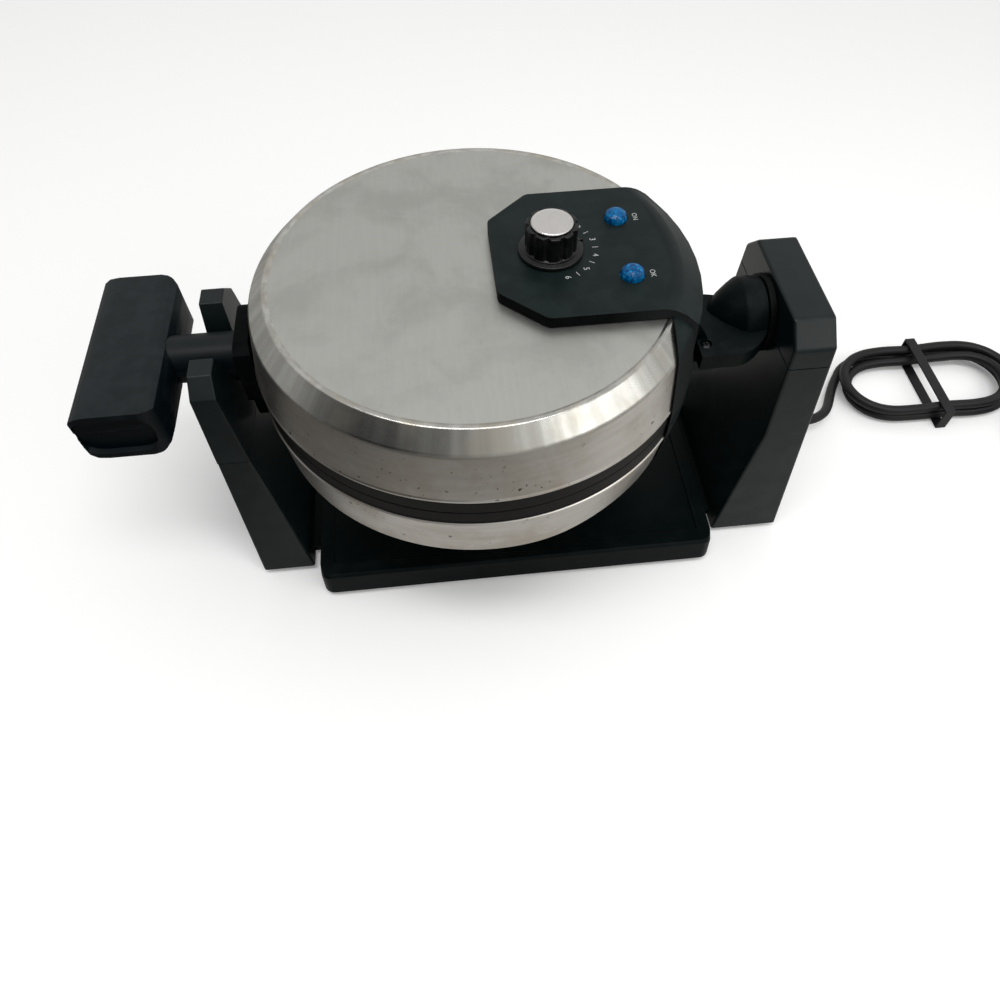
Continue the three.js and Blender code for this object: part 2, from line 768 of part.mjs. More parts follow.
// Hinge bracket of the lid: a bent strip on the upper rim with two eyes round the pin
const lidHinge = { sheet: 3, innerX: 90, eyeGap: 1, eyeWidth: 5 };
function hingeBracket() {
  const base = rimSeat + gap;
  const eyeOuter = hinge.lugY - hinge.lugWidth / 2 - lidHinge.eyeGap;
  const stripSpan = [rimBore + gap, rimTrimRadius - gap];
  const strip = block(stripSpan, [-eyeOuter, eyeOuter], [base, base + lidHinge.sheet]);
  const eyes = [1, -1].map((side) => {
    const outer = side * eyeOuter;
    const inner = side * (eyeOuter - lidHinge.eyeWidth);
    const post = block(
      [hingeX - hinge.eyeRadius, rimTrimRadius - gap],
      [Math.min(outer, inner), Math.max(outer, inner)],
      [base, hinge.height],
    );
    const eye = rod(hinge.eyeRadius, "y", Math.min(outer, inner), Math.max(outer, inner), 20);
    return joined(post, eye.translate(hingeX, 0, hinge.height));
  });
  const insideWall = block([0, hingeX + bracketReach], [-hinge.lugY, hinge.lugY], [0, housingTop]);
  return cut(shared(joined(strip, ...eyes), insideWall), hingePinHole);
}
place(lid, "lid_hinge_bracket", hingeBracket(), nickel);

// Journal, washer, bush and stop collar, where the hub turns in the rear post
const journalEnd = hubEndX - journal.socket + gap;
const ring = (outer, inner, from, to, sides = shaftSteps) =>
  turned([[inner, from], [outer, from], [outer, to], [inner, to]], "x", sides);
place(
  cooker,
  "hub_journal",
  ring(journal.radius, journal.bore, journalEnd, rearPost.innerX + journal.length),
  nickel,
);
const washerX = (hubEndX + rearPost.innerX) / 2;
const thrustWasher = ring(
  washer.radius,
  journal.radius + gap,
  washerX - washer.width / 2,
  washerX + washer.width / 2,
);
place(cooker, "thrust_washer", thrustWasher, nylon);
const bushStart = rearPost.innerX + gap;
const bushRing = joined(
  ring(bush.radius, journal.radius + gap, bushStart, bushStart + bush.length),
  ring(
    bush.flange,
    journal.radius + gap,
    bushStart + bush.length - bush.flangeWidth,
    bushStart + bush.length,
  ),
);
place(stand, "hub_bush", moved(bushRing, 0, 0, axisHeight), nylon);
const collarStart = bushStart + bush.length + gap;
const collar = cut(
  joined(
    rod(stopCollar.radius, "x", collarStart, collarStart + stopCollar.width),
    block([collarStart, collarStart + stopCollar.width], [0, stopCollar.reach], [
      -stopCollar.tabWidth / 2,
      stopCollar.tabWidth / 2,
    ]),
  ),
  rod(journal.radius + gap, "x", collarStart - overrun, collarStart + stopCollar.width + overrun),
);
place(cooker, "stop_collar", collar, nickel);
// The supply runs through the drum and the journal into the lower housing
place(
  cooker,
  "rotor_lead",
  rod(journal.bore - 2 * runningGap, "x", hub.innerX + gap, collarStart + stopCollar.width),
  rubber,
);

// Rear post: a hexagonal tower, split at the axis so that the cap clamps the bush
const rearSide = (inset) => {
  const innerX = rearPost.innerX + inset;
  return [
    [rearPostFrontX + inset, tray.bottom],
    [rearPostFootX - inset, tray.bottom],
    [rearPostTopX - inset, rearPostTop - inset],
    [innerX, rearPostTop - inset],
    [innerX, axisHeight - rearPost.kneeDrop],
  ];
};
const towerFront = (post, inset) =>
  mirrored([
    [post.footHalf - inset, tray.bottom],
    [post.chamferHalf - inset, axisHeight + post.chamferRise],
    [post.topHalf - inset, axisHeight + post.rise - inset],
  ]);
const rearSolid = (inset, drop) =>
  shared(
    prism(rearSide(inset), "y", -rearPost.footHalf, rearPost.footHalf),
    prism(towerFront(rearPost, inset), "x", rearPostFrontX, rearPostFootX),
  ).translate(0, 0, -drop);
const everyX = [frontPostOuterX * 2, rearPostFootX * 2];
const everyY = [-tray.halfWidth * 2, tray.halfWidth * 2];
const above = (z) => block(everyX, everyY, [z, rearPostTop + overrun]);
const below = (z) => block(everyX, everyY, [-overrun, z]);
const tongueSlot = (from, to) =>
  block([from, to], [-tray.tongueHalf - gap, tray.tongueHalf + gap], [-overrun, tray.tongueTop + gap]);

const rearHollow = rearSolid(rearPost.wall, 0);
const bushBore = rod(bush.radius + gap, "x", rearPostFrontX, bushStart + bush.length, shaftSteps).translate(
  0,
  0,
  axisHeight,
);
const rearShell = cut(
  rearSolid(0, 0),
  rearHollow,
  shared(moved(rearHollow, 0, 0, -overrun), below(tray.tongueTop)),
  bushBore,
);
const bootHole = rod(boot.neck + gap, "x", rearPostTopX - overrun, rearPostFootX + overrun).translate(
  0,
  boot.y,
  boot.height,
);
// Two ledges stop the collar's tab a half turn apart
const stopLedge = (side) =>
  block(
    [collarStart, rearPostTopX],
    [side * (stopCollar.radius + runningGap), side * rearPost.chamferHalf],
    [axisHeight - stopCollar.tabWidth, axisHeight - stopCollar.tabWidth / 2 - gap],
  );
const rearTower = cut(
  joined(cut(rearShell, above(axisHeight - gap / 2)), stopLedge(1), stopLedge(-1)),
  bootHole,
  tongueSlot(trayRightX, rearPost.innerX + rearPost.wall),
);
place(stand, "rear_post", rearTower, blackPlastic);
place(stand, "rear_post_cap", cut(rearShell, below(axisHeight + gap / 2)), blackPlastic);

// Front post and the fork on top of it, whose slot the handle turns in
const frontSide = (inset) => [
  [frontPostOuterX + inset, tray.bottom],
  [frontPostFootX - inset, tray.bottom],
  [forkInnerX + frontPost.midLean - inset, frontPostMidHeight],
  [forkInnerX - inset, frontPostTop],
  [frontPostOuterX + inset, frontPostTop],
];
const frontSolid = (inset) =>
  shared(
    prism(frontSide(inset), "y", -frontPost.footHalf, frontPost.footHalf),
    prism(towerFront(frontPost, inset), "x", frontPostOuterX, frontPostFootX),
  );
function forkSlot() {
  const shape = new THREE.Shape();
  const rise = frontPostTop - axisHeight;
  shape.moveTo(frontPost.slotHalf, rise);
  shape.lineTo(frontPost.slotHalf, rise + overrun);
  shape.lineTo(-frontPost.slotHalf, rise + overrun);
  shape.lineTo(-frontPost.slotHalf, rise);
  shape.absarc(0, 0, arm.radius + runningGap, Math.PI, 2 * Math.PI, false);
  shape.closePath();
  return prism(shape, "x", frontPostOuterX - overrun, frontPostFootX).translate(0, 0, axisHeight);
}
// A small nub on each prong guides the arms as the lid comes down
const nub = (side) =>
  new THREE.SphereGeometry(fork.nubRadius, 12, 8).translate(
    (frontPostOuterX + forkInnerX) / 2,
    side * (frontPost.slotHalf - fork.nubProud + fork.nubRadius - fork.nubRadius / 2),
    frontPostTop - fork.nubDepth,
  );
const forkBody = joined(
  cut(frontSolid(0), forkSlot(), below(frontPostMidHeight + gap / 2)),
  nub(1),
  nub(-1),
);
place(stand, "front_fork", forkBody, blackPlastic);
const frontTower = cut(
  frontSolid(0),
  above(frontPostMidHeight - gap / 2),
  cut(frontSolid(frontPost.wall), above(frontPostMidHeight - frontPost.wall)),
  shared(moved(frontSolid(frontPost.wall), 0, 0, -overrun), below(tray.tongueTop)),
  tongueSlot(frontPostFootX - frontPost.wall - overrun, trayLeftX),
);
place(stand, "front_post", frontTower, blackPlastic);

// Tray: a shallow pan between the posts, with a tongue that runs into each of them
const trayTopHalf = tray.halfWidth - tray.batter;
const traySection = mirrored([
  [tray.halfWidth, tray.bottom],
  [trayTopHalf + tray.edge, tray.top - tray.edge],
  [trayTopHalf, tray.top],
]);
const panRecess = block(
  [trayLeftX + tray.border, trayRightX - tray.border],
  [tray.border - trayTopHalf, trayTopHalf - tray.border],
  [(tray.top - tray.dish), tray.top + overrun],
);
const underside = joined(
  block(
    [trayLeftX + tray.wall, trayRightX - tray.wall],
    [-trayTopHalf + tray.corner, trayTopHalf - tray.corner],
    [-overrun, (tray.top - tray.dish) - tray.wall],
  ),
  block(
    [trayLeftX + tray.corner, trayRightX - tray.corner],
    [-trayTopHalf + tray.wall, trayTopHalf - tray.wall],
    [-overrun, (tray.top - tray.dish) - tray.wall],
  ),
);
const footX = [trayLeftX + foot.insetX, trayRightX - foot.insetX];
const footY = [tray.halfWidth - foot.insetY, foot.insetY - tray.halfWidth];
const footPlaces = footX.flatMap((x) => footY.map((y) => [x, y]));
const pan = cut(
  prism(traySection, "x", trayLeftX, trayRightX),
  panRecess,
  underside,
  ...footPlaces.map(([x, y]) =>
    rod(foot.neck + gap, "z", -overrun, tray.bottom + foot.neckLength + gap, screwSteps).translate(x, y, 0),
  ),
);
const tongues = [
  [frontPostOuterX + frontPost.wall + gap, trayLeftX + tray.wall],
  [trayRightX - tray.wall, rearPostFootX - 4 * rearPost.wall],
].map((span) => block(span, [-tray.tongueHalf, tray.tongueHalf], [tray.bottom, tray.tongueTop]));
const postScrew = { head: 4, headHeight: 2, shank: 2, length: 11 };
const postScrewPlaces = [
  [(frontPostOuterX + frontPostFootX) / 2, tray.tongueHalf / 2],
  [(frontPostOuterX + frontPostFootX) / 2, -tray.tongueHalf / 2],
  [(rearPostFootX + rearPostFrontX) / 2, tray.tongueHalf / 2],
  [(rearPostFootX + rearPostFrontX) / 2, -tray.tongueHalf / 2],
];
const screwBores = postScrewPlaces.map(([x, y]) =>
  rod(postScrew.shank + gap, "z", -overrun, tray.tongueTop + overrun, screwSteps).translate(x, y, 0),
);
place(stand, "base_tray", cut(joined(pan, ...tongues), ...screwBores), blackPlastic);
postScrewPlaces.forEach(([x, y], i) => {
  const headTop = tray.bottom - gap;
  const screw = joined(
    rod(postScrew.head, "z", headTop - postScrew.headHeight, headTop, screwSteps),
    rod(postScrew.shank, "z", headTop - gap, headTop + postScrew.length, screwSteps),
  );
  place(stand, `post_screw_${i + 1}`, moved(screw, x, y, 0), nickel);
});
const footNames = ["front_left", "front_right", "rear_left", "rear_right"];
footPlaces.forEach(([x, y], i) => {
  const pad = joined(
    rod(foot.radius, "z", 0, tray.bottom - gap, 20),
    rod(foot.neck, "z", tray.bottom - 2 * gap, tray.bottom + foot.neckLength, screwSteps),
  );
  place(stand, `foot_${footNames[i]}`, moved(pad, x, y, 0), rubber);
});

// Handle: arms, shields and grips of the upper half; the lower half is the same turned over
const lowerHalf = block([-wingSpan * 2, wingSpan], [-wingSpan, wingSpan], [-wingSpan, rim.seam]);
const halfPlane = (solid) => cut(solid, lowerHalf);
const upperShield = mirrored([
  [shield.halfWidth, -shield.height],
  [shield.halfWidth, shield.height],
]);
// The lower shield runs on into a narrower tongue
const lowerShield = mirrored([
  [shield.halfWidth, -shield.lowerHeight],
  [shield.halfWidth, shield.lowerHeight],
  [shield.tongueHalf, shield.lowerHeight],
  [shield.tongueHalf, shield.tongueHeight],
]);
// A shield's back follows the round cover with a thin gap
function handleArm(points, height) {
  const outline = softLoop(points, shield.corner, 4);
  const backX = shieldInnerX + shield.halfWidth ** 2 / wingSpan;
  const seat = cut(
    rod(cover.radius + gap, "z", -overrun, height + overrun, roundSteps),
    block([-cover.radius / 2, wingSpan], [-wingSpan, wingSpan], [-2 * overrun, wingSpan]),
  );
  const bar = joined(
    rod(arm.radius, "x", armOuterX, shieldInnerX, shaftSteps),
    prism(outline, "x", shieldOuterX, backX),
  );
  return cut(halfPlane(bar), seat);
}
place(lid, "upper_handle_arm", handleArm(upperShield, shield.height), blackPlastic);
place(cooker, "lower_handle_arm", turnedOver(handleArm(lowerShield, shield.tongueHeight)), blackPlastic);

function gripShell() {
  const plan = softLoop(
    [
      [gripOuterX, -grip.halfLength],
      [gripInnerX - grip.endInset, -grip.halfLength],
      [gripInnerX, -grip.halfLength + 2 * grip.endInset],
      [gripInnerX, grip.halfLength - 2 * grip.endInset],
      [gripInnerX - grip.endInset, grip.halfLength],
      [gripOuterX, grip.halfLength],
    ],
    grip.roundness / 2,
  );
  const section = (inset) => {
    const [left, right, top] = [gripOuterX + inset, gripInnerX - inset, grip.halfHeight - inset];
    const points = [
      [left, -top],
      [right, -top],
      [right, top],
      [left, top],
    ];
    return softLoop(points, grip.roundness, 4);
  };
  const body = shared(
    prism(plan, "z", -grip.halfHeight, grip.halfHeight),
    prism(section(0), "y", -grip.halfLength, grip.halfLength),
  );
  const recess = (side) =>
    prism(
      section(grip.recessWall),
      "y",
      side * (grip.halfLength - grip.recessDepth),
      side * (grip.halfLength + overrun),
    ).translate(-grip.endInset / 2, 0, 0);
  const socket = rod(arm.radius + gap, "x", armOuterX - gap, gripInnerX + grip.width, shaftSteps);
  return halfPlane(cut(body, recess(1), recess(-1), socket));
}
const gripGeometry = gripShell();
place(lid, "upper_grip", gripGeometry, blackPlastic);
place(cooker, "lower_grip", turnedOver(gripGeometry), blackPlastic);

// Thermostat under the cover, with the spindle that the knob turns
const thermostatTop = cover.height - cover.sheet - gap;
const thermostatBottom = thermostatTop - thermostat.height;
const thermostatBody = cut(
  block(
    [knobX - thermostat.length / 2, knobX + thermostat.length / 2],
    [-thermostat.width / 2, thermostat.width / 2],
    [thermostatBottom, thermostatTop],
  ),
  rod(spindle.radius + gap, "z", thermostatTop - spindle.depth / 2 - gap, thermostatTop + overrun).translate(
    knobX,
    0,
    0,
  ),
);
const contactPost = block(
  [knobX + thermostat.length / 2 - contactArm.post, knobX + thermostat.length / 2],
  [-contactArm.width / 2, contactArm.width / 2],
  [thermostatBottom - contactArm.rise, thermostatBottom + gap],
);
place(lid, "thermostat", joined(thermostatBody, contactPost), phenolic);
const contactX = knobX + thermostat.length / 2 - contactArm.post - gap;
place(
  lid,
  "thermostat_contact",
  block(
    [contactX - contactArm.length, contactX],
    [-contactArm.width / 2, contactArm.width / 2],
    [thermostatBottom - contactArm.pivot - contactArm.sheet, thermostatBottom - contactArm.pivot],
  ),
  nickel,
);

// Knob, its bright cap and the spindle, drawn about the knob's own centre
const skirtBase = housingTop + gap;
const skirtTop = skirtBase + knob.skirtHeight;
const bodyTop = skirtTop + knob.bodyHeight;
place(
  controls,
  "thermostat_spindle",
  rod(spindle.radius, "z", thermostatTop - spindle.depth / 2, skirtBase + spindle.grip),
  nickel,
);
function knobBody() {
  const outline = [];
  const steps = knob.flutes * 6;
  for (let i = 0; i < steps; i++) {
    const angle = (i / steps) * 2 * Math.PI;
    const dip = Math.max(0, Math.cos(angle * knob.flutes)) ** 2;
    const radius = knob.bodyRadius - knob.fluteDepth * dip;
    outline.push([radius * Math.cos(angle), radius * Math.sin(angle)]);
  }
  const pointer = prism(
    [
      [knob.skirtRadius - knob.pointerLength, -knob.pointerLength / 2],
      [knob.skirtRadius + knob.pointerLength / 2, 0],
      [knob.skirtRadius - knob.pointerLength, knob.pointerLength / 2],
    ],
    "z",
    skirtBase,
    skirtTop,
  ).rotateZ(THREE.MathUtils.degToRad(knob.restAngle));
  const skirt = turned(
    [
      [0, skirtBase],
      [knob.skirtRadius, skirtBase],
      [knob.skirtRadius, skirtTop - gap],
      [knob.skirtRadius - knob.skirtHeight, skirtTop + gap],
      [0, skirtTop + gap],
    ],
    "z",
    shaftSteps,
  );
  return cut(
    joined(skirt, prism(outline, "z", skirtTop, bodyTop), pointer),
    rod(spindle.radius + gap, "z", skirtBase - overrun, skirtBase + spindle.grip + gap),
  );
}
place(controls, "control_knob", knobBody(), glossBlack);
const capBase = bodyTop + gap;
place(controls, "knob_cap", rod(knob.capRadius, "z", capBase, capBase + knob.capHeight), silverCap);

// Indicator lamps: a board on the cover, a lamp and a faceted blue lens for each
const boardBase = cover.height + gap;
place(
  lid,
  "indicator_board",
  block([lensX - board.length / 2, lensX + board.length / 2], [-board.halfWidth, board.halfWidth], [
    boardBase,
    boardBase + board.thickness,
  ]),
  circuit,
);
for (const [name, side] of [["power", 1], ["ready", -1]]) {
  const lampBase = boardBase + board.thickness + gap / 2;
  const lensBase = housingTop - housing.wall - gap;
  place(
    lid,
    `${name}_lamp`,
    rod(lamp.radius, "z", lampBase, lampBase + lamp.height, 12).translate(lensX, side * lens.y, 0),
    silverCap,
  );
  const jewel = turned(
    [
      [0, lensBase - lens.flange],
      [lens.radius + 2 * gap, lensBase - lens.flange],
      [lens.radius + 2 * gap, lensBase],
      [lens.radius, lensBase],
      ...jewelShares.map(([across, up]) => [lens.radius * across, housingTop + lens.proud * up]),
      [0, housingTop + lens.proud],
    ],
    "z",
    lens.sides,
  );
  place(lid, `${name}_light`, moved(jewel, lensX, side * lens.y, 0), blueJewel);
}

// Mains lead: boot at the rear post, free stretch, hank with its tie, and plug
const bootX = rearPostFootX + gap;
const bootTip = bootX + boot.length;
const bootBody = turned(
  [
    [0, bootX - 3 * rearPost.wall],
    [boot.neck, bootX - 3 * rearPost.wall],
    [boot.neck, bootX + gap],
    [boot.flange, bootX + gap],
    [boot.flange, bootX + boot.flangeWidth],
    [boot.radius, bootX + boot.flangeWidth],
    [boot.tip, bootTip],
    [0, bootTip],
  ],
  "x",
  20,
);
place(stand, "strain_relief", moved(bootBody, 0, boot.y, boot.height), rubber);

// Loops wind in on the table and out again on top; then a straight tail leads to the plug
const lowLayer = tie.sheet + tie.slack + cord.diameter / 2;
const layerRise = cord.diameter + tie.slack;
const startAngle = THREE.MathUtils.degToRad(hank.startAngle);
const hankLoops = hank.turns + hank.startAngle / 360;
const hankStepsPerLoop = 24;
function hankPoint(loops) {
  const fromEnd = Math.min(loops, hankLoops - loops);
  const radius = hank.radius - hank.pitch * fromEnd;
  const angle = startAngle - loops * 2 * Math.PI;
  const lean = (Math.cos(angle) / Math.hypot(Math.cos(angle), hank.blend)) * Math.hypot(1, hank.blend);
  const x = radius * Math.cos(angle) + hank.run * lean;
  const draw = 1 - hank.waist * Math.exp(-((x / hank.run) ** 2));
  const y = radius * Math.sin(angle) * draw;
  const climb = THREE.MathUtils.smoothstep(loops - hankLoops / 2, -hank.climb, hank.climb);
  return new THREE.Vector3(hank.x + x, hank.y + y, lowLayer + layerRise * climb);
}
const loopSteps = Math.round(hankStepsPerLoop * hankLoops);
const hankSteps = Array.from({ length: loopSteps + 1 }, (unused, i) => i / loopSteps);
const hankPoints = hankSteps.map((share) => hankPoint(share * hankLoops));
const tailSteps = 4;
const tailDrop = lowLayer + layerRise - plug.height / 2 - gap;
for (let i = 1; i <= tailSteps; i++) {
  const drop = THREE.MathUtils.smoothstep(i / tailSteps, 0, 1) * tailDrop;
  const last = hankPoints[loopSteps];
  hankPoints.push(new THREE.Vector3(last.x, last.y - (hank.tail * i) / tailSteps, last.z - drop));
}
const hankPath = new THREE.CatmullRomCurve3(hankPoints, false, "centripetal");
place(stand, "lead_hank", tube(hankPath, cord.diameter, 6, loopSteps + tailSteps), rubber);

// The free stretch swings down from the boot to the table and meets the hank along its own line
const hankHead = hankPath.getPoint(0);
const towardHank = hankPath.getTangent(0);
const bootEnd = new THREE.Vector3(bootTip + gap, boot.y, boot.height);
const leadPath = new THREE.CubicBezierCurve3(
  bootEnd,
  bootEnd.clone().add(new THREE.Vector3(cord.reach, 0, 0)),
  hankHead.clone().addScaledVector(towardHank, -cord.approach),
  hankHead.clone().addScaledVector(towardHank, -gap),
);
place(stand, "power_lead", tube(leadPath, cord.diameter, 8, 16), rubber);

// How close the hank's tube comes to itself, and its tightest bend, on points along it
function leastSelfGap(curve, diameter) {
  const count = 400;
  const points = curve.getSpacedPoints(count);
  const apart = Math.ceil((4 * diameter * count) / curve.getLength());
  let least = Infinity;
  for (let i = 0; i < points.length; i++) {
    for (let j = i + apart; j < points.length; j++) least = Math.min(least, points[i].distanceTo(points[j]));
  }
  return least - diameter;
}
function tightestBend(curve) {
  const count = Math.round(curve.getLength() / cord.diameter);
  const points = curve.getSpacedPoints(count);
  let least = Infinity;
  for (let i = 1; i < count; i++) {
    const before = points[i].clone().sub(points[i - 1]);
    const after = points[i + 1].clone().sub(points[i]);
    least = Math.min(least, before.length() / Math.max(before.angleTo(after), 1e-6));
  }
  return least;
}
console.log(`hank: least gap to itself ${leastSelfGap(hankPath, cord.diameter).toFixed(2)} mm`);
const bends = [hankPath, leadPath].map((path) => tightestBend(path).toFixed(1));
console.log(`bends: hank ${bends[0]} mm, lead ${bends[1]} mm`);
console.log(`lead: ${(leadPath.getLength() + hankPath.getLength()).toFixed(0)} mm from the boot to the plug`);

const tieHalf = hank.radius * (1 - hank.waist) + cord.diameter / 2 + tie.slack;
const tieTop = lowLayer + layerRise + cord.diameter / 2 + tie.slack;
const tieLoop = cut(
  block(
    [hank.x - tie.width / 2, hank.x + tie.width / 2],
    [hank.y - tieHalf - tie.sheet, hank.y + tieHalf + tie.sheet],
    [gap / 3, tieTop + tie.sheet],
  ),
  block(
    [hank.x - tie.width, hank.x + tie.width],
    [hank.y - tieHalf, hank.y + tieHalf],
    [gap / 3 + tie.sheet, tieTop],
  ),
);
place(stand, "lead_tie", tieLoop, rubber);

const hankEnd = hankPath.getPoint(1);
const plugBody = () => {
  const body = new THREE.Shape();
  body.moveTo(-cord.diameter / 2 - tie.sheet, 0);
  body.lineTo(-plug.width / 2, -plug.taper);
  body.lineTo(-plug.width / 2, -plug.length);
  body.lineTo(plug.width / 2, -plug.length);
  body.lineTo(plug.width / 2, -plug.taper);
  body.lineTo(cord.diameter / 2 + tie.sheet, 0);
  body.closePath();
  const blades = [1, -1].map((side) =>
    block(
      [(side * plug.bladeSpan) / 2 - plug.blade / 2, (side * plug.bladeSpan) / 2 + plug.blade / 2],
      [-plug.length - plug.bladeLength, -plug.length + gap],
      [-plug.bladeWidth / 2, plug.bladeWidth / 2],
    ),
  );
  const shell = prism(body, "z", -plug.height / 2, plug.height / 2);
  return joined(shell, ...blades).translate(hankEnd.x, hankEnd.y - gap, hankEnd.z);
};
place(stand, "plug", plugBody(), rubber);

export default model;
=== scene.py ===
import math
from contextlib import contextmanager

import bmesh
import bpy
from mathutils import Matrix, Vector


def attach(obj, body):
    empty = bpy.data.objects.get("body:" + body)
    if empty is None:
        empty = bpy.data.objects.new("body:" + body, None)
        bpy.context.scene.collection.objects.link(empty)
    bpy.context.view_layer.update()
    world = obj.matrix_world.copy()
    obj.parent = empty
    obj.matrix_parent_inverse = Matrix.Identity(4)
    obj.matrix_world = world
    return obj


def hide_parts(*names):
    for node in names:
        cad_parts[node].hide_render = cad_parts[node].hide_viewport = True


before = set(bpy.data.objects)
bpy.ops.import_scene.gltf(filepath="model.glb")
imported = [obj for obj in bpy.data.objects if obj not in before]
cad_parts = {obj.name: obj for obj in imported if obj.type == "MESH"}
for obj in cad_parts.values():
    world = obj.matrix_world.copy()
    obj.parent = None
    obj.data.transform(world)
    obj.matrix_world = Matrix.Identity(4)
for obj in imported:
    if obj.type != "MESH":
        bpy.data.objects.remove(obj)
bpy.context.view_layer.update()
scene = bpy.context.scene

# Camera: looks down at the lid from the front, a little from the left.
# Place and aim were fitted to the outlines of the object.
CAMERA_PLACE = (-0.006684, -0.295902, 0.417886)
YAW, PITCH, ROLL = (math.radians(a) for a in (4.935, -56.075, -1.143))
LENS_MM, SENSOR_MM = 27.577, 36.0


def placed(name, data):
    """A new object in the scene."""
    item = bpy.data.objects.new(name, data)
    scene.collection.objects.link(item)
    return item


ahead = Vector((math.sin(YAW) * math.cos(PITCH), math.cos(YAW) * math.cos(PITCH), math.sin(PITCH)))
level = Vector((math.cos(YAW), -math.sin(YAW), 0.0))
upward = level.cross(ahead)
right = level * math.cos(ROLL) + upward * math.sin(ROLL)
top = upward * math.cos(ROLL) - level * math.sin(ROLL)
camera = placed("camera", bpy.data.cameras.new("camera"))
camera.data.lens = LENS_MM
camera.data.sensor_width = SENSOR_MM
camera.matrix_world = Matrix(
    [[right[i], top[i], -ahead[i], CAMERA_PLACE[i]] for i in range(3)] + [[0, 0, 0, 1]]
)
scene.camera = camera

# Mains lead: a round black flex, 0.85 m from the rear post to the plug. It leaves
# through a tapered rubber sleeve, drops to the table and is folded into a hank
# behind the stand, held by a tie.
MM = 0.001
ORIGIN_X = 7.2  # the part's own zero lies this far along X, in mm
LEAD_DIAMETER = 6.5
SLEEVE_ROOT, SLEEVE_TIP_X, INSIDE_SLEEVE = (181.9, 16.0, 14.0), 211.9, 15.0
LEAD_REACH, LEAD_APPROACH = 34.0, 30.0
FREE_STEPS, LOOP_STEPS, TAIL_STEPS = 13, 24, 4
HANK = dict(x=321.0, y=46.0, run=28.0, radius=34.0, pitch=7.9, blend=0.35, waist=0.1, climb=0.25, tail=36.0)
HANK_START, HANK_TURNS = math.radians(155), 2
TIE_SHEET, TIE_SLACK = 1.1, 0.5
PLUG_HEIGHT, TOUCH = 18.0, 0.3
LOW_LAYER = TIE_SHEET + TIE_SLACK + LEAD_DIAMETER / 2
LAYER_RISE = LEAD_DIAMETER + TIE_SLACK
LOOPS = HANK_TURNS + math.degrees(HANK_START) / 360


def at(x, y, z):
    """A place in the part's millimetres as a place in the scene."""
    return Vector((x + ORIGIN_X, y, z)) * MM


def eased(value, low, high):
    """Rises from 0 to 1 between low and high, flat at both ends."""
    t = min(1.0, max(0.0, (value - low) / (high - low)))
    return t * t * (3 - 2 * t)


def hank_point(loops):
    """The loops wind in on the table and out again on top."""
    radius = HANK["radius"] - HANK["pitch"] * min(loops, LOOPS - loops)
    angle = HANK_START - loops * 2 * math.pi
    blend = HANK["blend"]
    lean = math.cos(angle) / math.hypot(math.cos(angle), blend) * math.hypot(1, blend)
    x = radius * math.cos(angle) + HANK["run"] * lean
    y = radius * math.sin(angle) * (1 - HANK["waist"] * math.exp(-((x / HANK["run"]) ** 2)))
    climb = eased(loops - LOOPS / 2, -HANK["climb"], HANK["climb"])
    return Vector((HANK["x"] + x, HANK["y"] + y, LOW_LAYER + LAYER_RISE * climb))


def lead_route():
    """Through the sleeve, down to the table, round the hank and on to the plug."""
    count = round(LOOP_STEPS * LOOPS)
    hank = [hank_point(i / count * LOOPS) for i in range(count + 1)]
    root, last = Vector(SLEEVE_ROOT), hank[-1]
    tip = Vector((SLEEVE_TIP_X + TOUCH, root.y, root.z))
    reach = tip + Vector((LEAD_REACH, 0, 0))
    approach = hank[0] - (hank[1] - hank[0]).normalized() * LEAD_APPROACH
    free, tail = [], []
    for i in range(FREE_STEPS):
        t = i / FREE_STEPS
        s = 1 - t
        free.append(tip * s**3 + reach * 3 * t * s**2 + approach * 3 * t * t * s + hank[0] * t**3)
    drop = LOW_LAYER + LAYER_RISE - PLUG_HEIGHT / 2 - TOUCH
    for share in (i / TAIL_STEPS for i in range(1, TAIL_STEPS + 1)):
        tail.append(Vector((last.x, last.y - HANK["tail"] * share, last.z - drop * eased(share, 0, 1))))
    return [root, root + Vector((INSIDE_SLEEVE, 0, 0)), *free, *hank, *tail]


def round_curve(name, radius, kind, count, roundness):
    """A curve with a round section and closed ends, and its points."""
    curve = bpy.data.curves.new(name, "CURVE")
    curve.dimensions = "3D"
    curve.bevel_depth = radius * MM
    curve.bevel_resolution = roundness
    curve.resolution_u = 5
    curve.use_fill_caps = True
    spline = curve.splines.new(kind)
    points = spline.bezier_points if kind == "BEZIER" else spline.points
    points.add(count - 1)
    return placed(name, curve), points


route = [at(*p) for p in lead_route()]
lead, knots = round_curve("mains_lead", LEAD_DIAMETER / 2, "BEZIER", len(route), 6)
for knot, place in zip(knots, route):
    knot.co = place
    knot.handle_left_type = knot.handle_right_type = "AUTO"


def effect(name, inputs, outputs):
    """An empty shader node group: numbers go in, masks and heights come out."""
    group = bpy.data.node_groups.new(name, "ShaderNodeTree")
    for socket, value in inputs.items():
        made = group.interface.new_socket(name=socket, in_out="INPUT", socket_type="NodeSocketFloat")
        made.default_value = value
    for socket in outputs:
        group.interface.new_socket(name=socket, in_out="OUTPUT", socket_type="NodeSocketFloat")
    return group, group.nodes.new("NodeGroupInput").outputs, group.nodes.new("NodeGroupOutput").inputs


def link(value, socket):
    value.id_data.links.new(value, socket)


def add(tree, kind, links=None, **settings):
    """A node with its settings, and its sockets linked or set by name or number."""
    node = tree.nodes.new("ShaderNode" + kind)
    for key, value in settings.items():
        setattr(node, key, value)
    for key, value in (links or {}).items():
        if isinstance(value, bpy.types.NodeSocket):
            link(value, node.inputs[key])
        else:
            node.inputs[key].default_value = value
    return node


def here(tree):
    """The place on the piece itself, so that a pattern moves with it."""
    return add(tree, "TexCoord").outputs["Object"]


